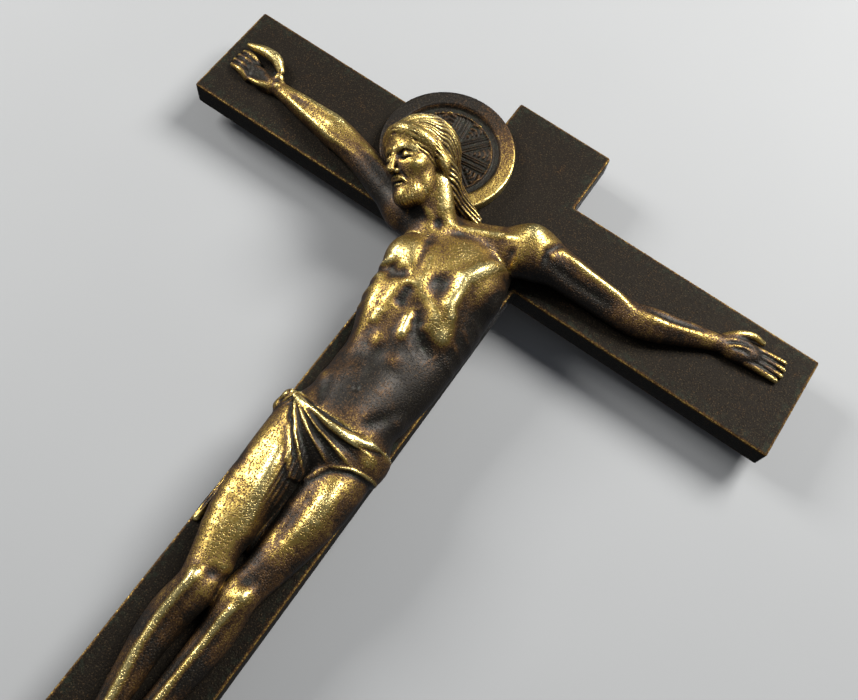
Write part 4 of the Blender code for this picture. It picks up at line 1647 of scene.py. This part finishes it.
    def head_marks(self, hair: tuple[Form, ...]) -> list[Mark | Combed]:
        """Eyelids, mouth, beard and the strands of the hair.

        Args:
            hair: the forms that carry the hair.

        Returns:
            The marks.
        """
        marks: list[Mark | Combed] = []

        def heading(*places: Place) -> Line:
            """A line drawn on the head, from places on its axes."""
            return tuple(tuple(direction(place)) for place in places)

        for side in (-1, 1):
            lid = heading((side * 0.045, 0.27, -0.012), (side * 0.09, 0.275, -0.030),
                          (side * 0.142, 0.235, -0.014))
            marks.append(Stroke(lid, 0.022, -0.016, Chart.HEAD, 0.1))
            crease = heading((side * 0.045, 0.27, 0.020), (side * 0.09, 0.275, 0.044),
                             (side * 0.145, 0.235, 0.022))
            marks.append(Stroke(crease, 0.020, -0.009, Chart.HEAD, 0.1))
            fold = heading((side * 0.055, 0.30, -0.13), (side * 0.085, 0.265, -0.19),
                           (side * 0.105, 0.23, -0.26))
            marks.append(Stroke(fold, 0.035, -0.010, Chart.HEAD))
            for index in range(7):
                across = side * (0.010 + 0.020 * index)
                back = 0.22 - 0.010 * index
                strand = heading((across, back + 0.02, -0.27 + 0.008 * index),
                                 (across * 0.9, back - 0.02, -0.46))
                marks.append(Stroke(strand, 0.016, -0.007, Chart.HEAD, 0.2))
        marks.append(Stroke(heading((-0.05, 0.27, -0.224), (0, 0.29, -0.221), (0.05, 0.27, -0.224)),
                            0.018, -0.010,
                            Chart.HEAD, 0.15))
        for index in range(5):
            drop = 0.036 * index
            lock = heading((-0.20, 0.22, 0.24 - drop), (0, 0.30, 0.33 - drop * 0.9),
                           (0.17, 0.21, 0.25 - drop),
                           (0.26, 0.06, 0.115 - drop), (0.28, -0.03, 0.01 - drop))
            marks.append(Stroke(lock, 0.028, -0.012, Chart.HEAD, 0.2))
        marks.append(Combed(hair, self.head, (0.0, 0.80, 0.62), 54, 0.0155))
        return marks

    def back_cut(self) -> Cut:
        """The plane that the figure's flat back lies on."""
        return Vector((0, self.layout.front + self.embed, 0)), Vector((0, 1, 0))

    def level(self, z: float, up: bool) -> Cut:
        """A level plane at z modules that keeps what is under it, or what is over it."""
        place = Vector((0, 0, self.layout.crossing.z + z * self.layout.module))
        return place, Vector((0, 0, 1 if up else -1))

    def build(self, bronze: Bronze) -> list[bpy.types.Object]:
        """Sculpt and place the figure's three pieces.

        Args:
            bronze: its finish.

        Returns:
            The pieces.
        """
        material = bronze.material(self.layout)
        body_rubbing, head_rubbing = Rubbing(RUBBED_PLACES), Rubbing(RUBBED_HEAD)
        arms = [*self.left_arm(), *self.right_arm()]
        trunk = Clay(self.head, [*self.trunk_forms(), *self.neck_forms(), *arms, *self.leg_forms()[:2]],
                     [*self.trunk_marks(), *self.arm_marks()])
        legs = Clay(self.head, [*self.trunk_forms()[4:7], *self.leg_forms(), *self.cloth_forms()],
                    [*self.leg_marks(), *self.cloth_marks(), *self.trunk_marks()[-14:]])
        forms, hair = self.head_forms()
        head = Clay(self.head, forms, self.head_marks(hair))
        back = self.back_cut()
        below = self.level(self.waist - self.overlap, False)
        above = self.level(self.waist + self.overlap, True)
        plans = (
            ("corpus_trunk", trunk, body_rubbing, self.trunk_voxel, [back, below]),
            ("corpus_legs", legs, body_rubbing, self.leg_voxel, [back, above]),
            ("corpus_head", head, head_rubbing, self.head_voxel, [back]),
        )
        pieces = []
        for name, clay, rubbing, voxel, cuts in plans:
            mesh = clay.model(name, self.layout, voxel, cuts)
            rubbing.add_numbers(mesh, self.layout)
            piece = place_piece(mesh, material)
            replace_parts(piece, "corpus")
            pieces.append(piece)
        return pieces


# ---------------------------------------------------------------------------------------------
# The cross, the nimbus and the footrest


@dataclass
class CrossPlate:
    """The flat cross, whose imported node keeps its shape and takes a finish."""

    layout: Layout
    shaft_width: float = 0.0250
    arm_height: float = 0.0259

    def build(self, bronze: Bronze) -> None:
        """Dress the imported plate."""
        dress("cross_plate", bronze.material(self.layout))


def dress(node: str, material: bpy.types.Material) -> None:
    """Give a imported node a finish.

    Args:
        node: the node.
        material: its finish.
    """
    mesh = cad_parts[node].data
    mesh.materials.clear()
    mesh.materials.append(material)
    log.info("%s: dressed", node)


@dataclass
class Nimbus:
    """A dished disc behind the head: a flat rim, a ring line, and a field of rays and leaves.

    Attributes:
        layout: where the frame's pieces are.
        rim: width of the flat rim.
        recess: how deep the field lies under the rim.
        rings: how many rings the field is divided into.
        sectors: how many sectors the disc is divided into.
        ring: radius of the ring line, as a share of the field's.
        rays: how many rays there are.
        first_ray: how far the first ray is turned up from the viewer's right, in degrees.
        line_width: half the width of a ray's lines.
        line_height: how high a ray's lines stand.
    """

    layout: Layout
    rim: float = 0.0034
    recess: float = 0.0011
    rings: int = 72
    sectors: int = 360
    ring: float = 0.84
    rays: int = 8
    first_ray: float = 8.0
    line_width: float = 0.00017
    line_height: float = 0.00034

    def profile(self, radius: float, depth: float) -> list[tuple[float, float]]:
        """Half-section of the disc, from the field's middle to the back.

        Args:
            radius: the disc's radius.
            depth: its thickness at the rim.

        Returns:
            Points (distance from its axis, height).
        """
        inner = radius - self.rim
        field_height = depth - self.recess
        points = [(inner * 0.96 * i / self.rings, field_height) for i in range(1, self.rings + 1)]
        wall = [(inner * 0.98, depth - self.recess * 0.55), (inner, depth - 0.00035)]
        wall.append((inner + 0.00025, depth - 0.0001))
        rim = [(inner + 0.0004 + (self.rim - 0.0008) * i / 12, depth) for i in range(13)]
        edge = [(radius - 0.00012, depth - 0.00008), (radius, depth - 0.0003)]
        back = [(radius, 0.0003), (radius - 0.0003, 0)]
        return points + wall + rim + edge + back

    def relief(self, across: np.ndarray, up: np.ndarray, inner: float) -> np.ndarray:
        """How high the field stands at each place.

        Args:
            across: how far to the right of the disc's axis each place is.
            up: how far above the axis it is.
            inner: radius of the field.

        Returns:
            The heights in metres.
        """
        radius = np.hypot(across, up)
        turn = np.arctan2(up, across)
        height = np.zeros(len(radius))
        ring = inner * self.ring
        inside = radius < ring
        height += 0.00050 * np.exp(-(((radius - ring) / 0.00022) ** 2))
        spacing = 360 // self.rays
        for angle in range(0, 360, spacing):
            heading = math.radians(angle + self.first_ray)
            c, s = math.cos(heading), math.sin(heading)
            ahead, aside = across * c + up * s, np.abs(up * c - across * s)
            on_ray = (ahead > 0) & inside
            for offset in (0.0006, 0.0012):
                line = np.exp(-(((aside - offset) / self.line_width) ** 2))
                height += self.line_height * line * on_ray
        leaf = np.mod(np.degrees(turn) - self.first_ray, spacing) / spacing
        between = np.minimum(leaf, 1 - leaf) * radius * math.radians(spacing)
        between = np.clip(between - 0.0018, 0, None)
        veins = np.sin((radius * 5200) + np.abs(leaf - 0.5) * 16)
        height += inside * np.clip(between / 0.0005, 0, 1) * (0.00026 + 0.00020 * veins)
        return height * (radius < inner * 0.95)

    def build(self, bronze: Bronze) -> bpy.types.Object:
        """Turn the disc, raise its field and place it.

        Args:
            bronze: its finish.

        Returns:
            The piece.
        """
        low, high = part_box("nimbus")
        centre = (low + high) / 2
        radius, depth = (high.x - low.x) / 2, high.y - low.y
        back = self.layout.front + 0.00002
        bm = bmesh.new()
        points = self.profile(radius, depth + back - high.y)
        verts = [bm.verts.new((centre.x + r, back - height, centre.z)) for r, height in points]
        edges = [bm.edges.new(pair) for pair in zip(verts, verts[1:])]
        bmesh.ops.spin(bm, geom=[*verts, *edges], cent=centre, axis=(0, -1, 0), angle=math.tau,
                       steps=self.sectors, use_merge=True, use_duplicate=False)
        bmesh.ops.remove_doubles(bm, verts=bm.verts, dist=1e-6)
        bmesh.ops.holes_fill(bm, edges=[e for e in bm.edges if e.is_boundary])
        bmesh.ops.recalc_face_normals(bm, faces=bm.faces)
        mesh = mesh_from(bm, "nimbus_disc")
        places = vertex_places(mesh)
        raised = self.relief(places[:, 0] - centre.x, places[:, 2] - centre.z, radius - self.rim)
        raised[places[:, 1] > back - depth / 3] = 0
        places[:, 1] -= raised
        set_places(mesh, places)
        self.add_numbers(mesh, centre, radius, back - depth, raised)
        piece = place_piece(mesh, bronze.material(self.layout))
        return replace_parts(piece, "nimbus")

    def add_numbers(
        self, mesh: bpy.types.Mesh, centre: Vector, radius: float, top: float, raised: np.ndarray
    ) -> None:
        """Say where the disc is rubbed, its rim and its field's crests, and paint a highlight on the
        rim's lower right.

        Args:
            mesh: the disc.
            centre: its centre.
            radius: its radius.
            top: y of its rim's face.
            raised: how far each vertex of the field was raised.
        """
        places = vertex_places(mesh)
        across, up = places[:, 0] - centre.x, places[:, 2] - centre.z
        distance = np.hypot(across, up)
        on_rim = distance > radius - self.rim
        # Painted highlight: a number that grows towards the disc's lower right and makes the rim's metal
        # brighter on that side.
        painted_lit_side = (across - up * 0.6) / radius
        sunk = np.clip((places[:, 1] - top) / self.recess, 0, 1)
        # On the rim the even share is real rubbing; the share that grows towards the lower right is
        # painted highlight.
        wear = np.where(on_rim, 0.36 + 0.26 * painted_lit_side, 0.26 - 0.26 * sunk + 400 * raised)
        # Painted highlight: a bright line along the rim's outer edge, on its lower right only.
        wear += 0.5 * np.exp(-(((distance - radius) / 0.0003) ** 2)) * np.clip(painted_lit_side, 0, 1)
        wear += 0.12 * np.exp(-(((distance - radius + self.rim) / 0.0003) ** 2))
        set_number(mesh, "wear", np.clip(wear, 0, 1.1))
        set_number(mesh, "hollow", np.where(on_rim, 0, sunk))


@dataclass
class Footrest:
    """The block that the feet stand on."""

    layout: Layout

    def build(self, bronze: Bronze) -> None:
        """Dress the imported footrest."""
        dress("footrest", bronze.material(self.layout))


# ---------------------------------------------------------------------------------------------
# The back: screws, hanger and pads


@dataclass
class Fixings:
    """Screws, hanger and pads on the back of the cross."""

    layout: Layout
    screws: tuple[str, ...] = (
        "corpus_screw_left_hand", "corpus_screw_right_hand", "corpus_screw_chest", "corpus_screw_hips",
        "corpus_screw_ankles", "nimbus_screw_centre", "nimbus_screw_side", "footrest_screw_left",
        "footrest_screw_right", "hanger_screw_upper", "hanger_screw_lower",
    )

    def build(self, brass: Bronze, felt: Felt) -> None:
        """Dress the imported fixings.

        Args:
            brass: finish of the metal.
            felt: finish of the pads.
        """
        metal = brass.material(self.layout)
        for node in (*self.screws, "hanger_strap", "hanger_ring"):
            dress(node, metal)
        wool = felt.material()
        for node in ("arm_pad_left", "arm_pad_right", "foot_pad"):
            dress(node, wool)


# ---------------------------------------------------------------------------------------------
# Studio


@dataclass
class Studio:
    """Camera, lights and the pale sheet.

    Attributes:
        layout: where the frame's pieces are.
        eye: the camera's place, in modules from the crossing on the back face.
        right: direction of the camera's right.
        down: direction of the camera's down.
        forward: direction that the camera looks in.
        lens: focal length in millimetres on a 36 mm sensor.
    """

    layout: Layout
    eye: Vector = Vector((1.369, -7.835, -4.140))
    right: Vector = Vector((0.8212, -0.0786, 0.5653))
    down: Vector = Vector((0.5527, 0.3565, -0.7533))
    forward: Vector = Vector((-0.1423, 0.9310, 0.3362))
    lens: float = 40.44

    def place_camera(self) -> None:
        """Put the camera where the view is taken from."""
        data = bpy.data.cameras.new("camera")
        data.lens = self.lens
        data.sensor_width = 36.0
        data.clip_start = 0.005
        camera = bpy.data.objects.new("camera", data)
        columns = Matrix((self.right, -self.down, -self.forward)).transposed().to_4x4()
        camera.matrix_world = Matrix.Translation(self.eye_place()) @ columns
        bpy.context.scene.collection.objects.link(camera)
        bpy.context.scene.camera = camera

    def eye_place(self) -> Vector:
        """The camera's place in metres."""
        return self.layout.crossing + self.eye * self.layout.module

    def add_light(
        self, name: str, towards: Vector, distance: float, size: float, power: float, colour: Place
    ) -> None:
        """Add a soft square light.

        Args:
            name: its name.
            towards: direction from the crossing to the light, on the camera's right, up and back.
            distance: how far away it is.
            size: length of its side.
            power: its power in watts.
            colour: its colour.
        """
        data = bpy.data.lights.new(name, "AREA")
        data.size = size
        data.energy = power
        data.color = colour
        way = self.right * towards.x - self.down * towards.y - self.forward * towards.z
        way.normalize()
        target = self.layout.crossing + Vector((0, 0, -0.03))
        light = bpy.data.objects.new(name, data)
        light.location = target + way * distance
        light.rotation_mode = "QUATERNION"
        light.rotation_quaternion = way.to_track_quat("Z", "Y")
        bpy.context.scene.collection.objects.link(light)

    def add_sheet(self) -> None:
        """Lay the pale sheet against the pads, seen only from its front and shading nothing."""
        bm = bmesh.new()
        behind = self.layout.wall - self.layout.crossing.y
        middle = self.layout.crossing + Vector((-0.03, behind, 0.02))
        place = Matrix.Translation(middle) @ Matrix.Rotation(math.pi / 2, 4, "X")
        bmesh.ops.create_grid(bm, x_segments=2, y_segments=2, size=0.42, matrix=place)
        mesh = mesh_from(bm, "sheet")
        mesh.materials.append(Paper().material())
        self.set_stage(bpy.data.objects.new("sheet", mesh))

    def add_room(self) -> None:
        """Put pale walls far round everything, which light nothing and mirror in nothing."""
        graph = Graph("pale_walls")
        cloud = graph.noise(0.8, 1.0)
        pale = graph.mix(cloud, tint(0.50, 0.51, 0.52), tint(0.58, 0.59, 0.60))
        graph.node_output(graph.node("ShaderNodeEmission", {}, {"Color": pale}))
        bm = bmesh.new()
        bmesh.ops.create_uvsphere(bm, u_segments=48, v_segments=24, radius=2.0)
        bmesh.ops.reverse_faces(bm, faces=bm.faces)
        mesh = mesh_from(bm, "walls")
        mesh.materials.append(graph.material)
        mesh.shade_smooth()
        self.set_stage(bpy.data.objects.new("walls", mesh))

    @staticmethod
    def set_stage(backdrop: bpy.types.Object) -> None:
        """Add a backdrop that only the camera sees.

        Args:
            backdrop: the backdrop.
        """
        backdrop.visible_diffuse = False
        backdrop.visible_glossy = False
        backdrop.visible_shadow = False
        bpy.context.scene.collection.objects.link(backdrop)

    def light_world(self, colour: Colour, strength: float) -> None:
        """Fill the room with a pale glow.

        Args:
            colour: its colour.
            strength: its strength.
        """
        world = bpy.data.worlds.new("room")
        world.use_nodes = True
        background = world.node_tree.nodes["Background"]
        background.inputs["Color"].default_value = colour
        background.inputs["Strength"].default_value = strength
        bpy.context.scene.world = world

    def build(self) -> None:
        """Set up the studio."""
        self.place_camera()
        self.add_sheet()
        view = bpy.context.scene.view_settings
        view.view_transform = "Standard"
        self.light_world(tint(0.85, 0.90, 1.0), 0.16)
        self.add_room()
        self.add_light("window", Vector((0.80, 0.70, 0.60)), 0.60, 0.26, 6.0, (1.0, 0.98, 0.95))
        self.add_light("lamp", Vector((-0.75, 0.85, 0.50)), 0.60, 0.22, 3.6, (1.0, 0.98, 0.95))
        self.add_light("back_window", Vector((0.3, 0.4, -1.0)), 0.70, 0.40, 3.5, (1.0, 1.0, 1.0))


def main() -> None:
    """Build and dress every piece, in order."""
    logging.basicConfig(level=logging.INFO, format="%(message)s")
    layout = Layout.read()
    Studio(layout).build()
    plate_finish = Bronze(
        "patinated_bronze", RubbedBy.EDGES, threshold=0.50, sheen=0.15, mottle=0.18, matt=0.66,
        relief=0.00006
    )
    figure_finish = Bronze("rubbed_bronze", RubbedBy.SKIN)
    nimbus_finish = Bronze("nimbus_bronze", RubbedBy.SKIN, threshold=0.44, matt=0.50, sheen=0.30)
    rest_finish = Bronze("footrest_bronze", RubbedBy.TOUCH, threshold=0.62, sheen=0.15, matt=0.62)
    brass_finish = Bronze("tarnished_brass", RubbedBy.TOUCH, threshold=0.30, mottle=0.28)
    CrossPlate(layout).build(plate_finish)
    Corpus(layout).build(figure_finish)
    Nimbus(layout).build(nimbus_finish)
    Footrest(layout).build(rest_finish)
    Fixings(layout).build(brass_finish, Felt())


if __name__ == "__main__":
    main()
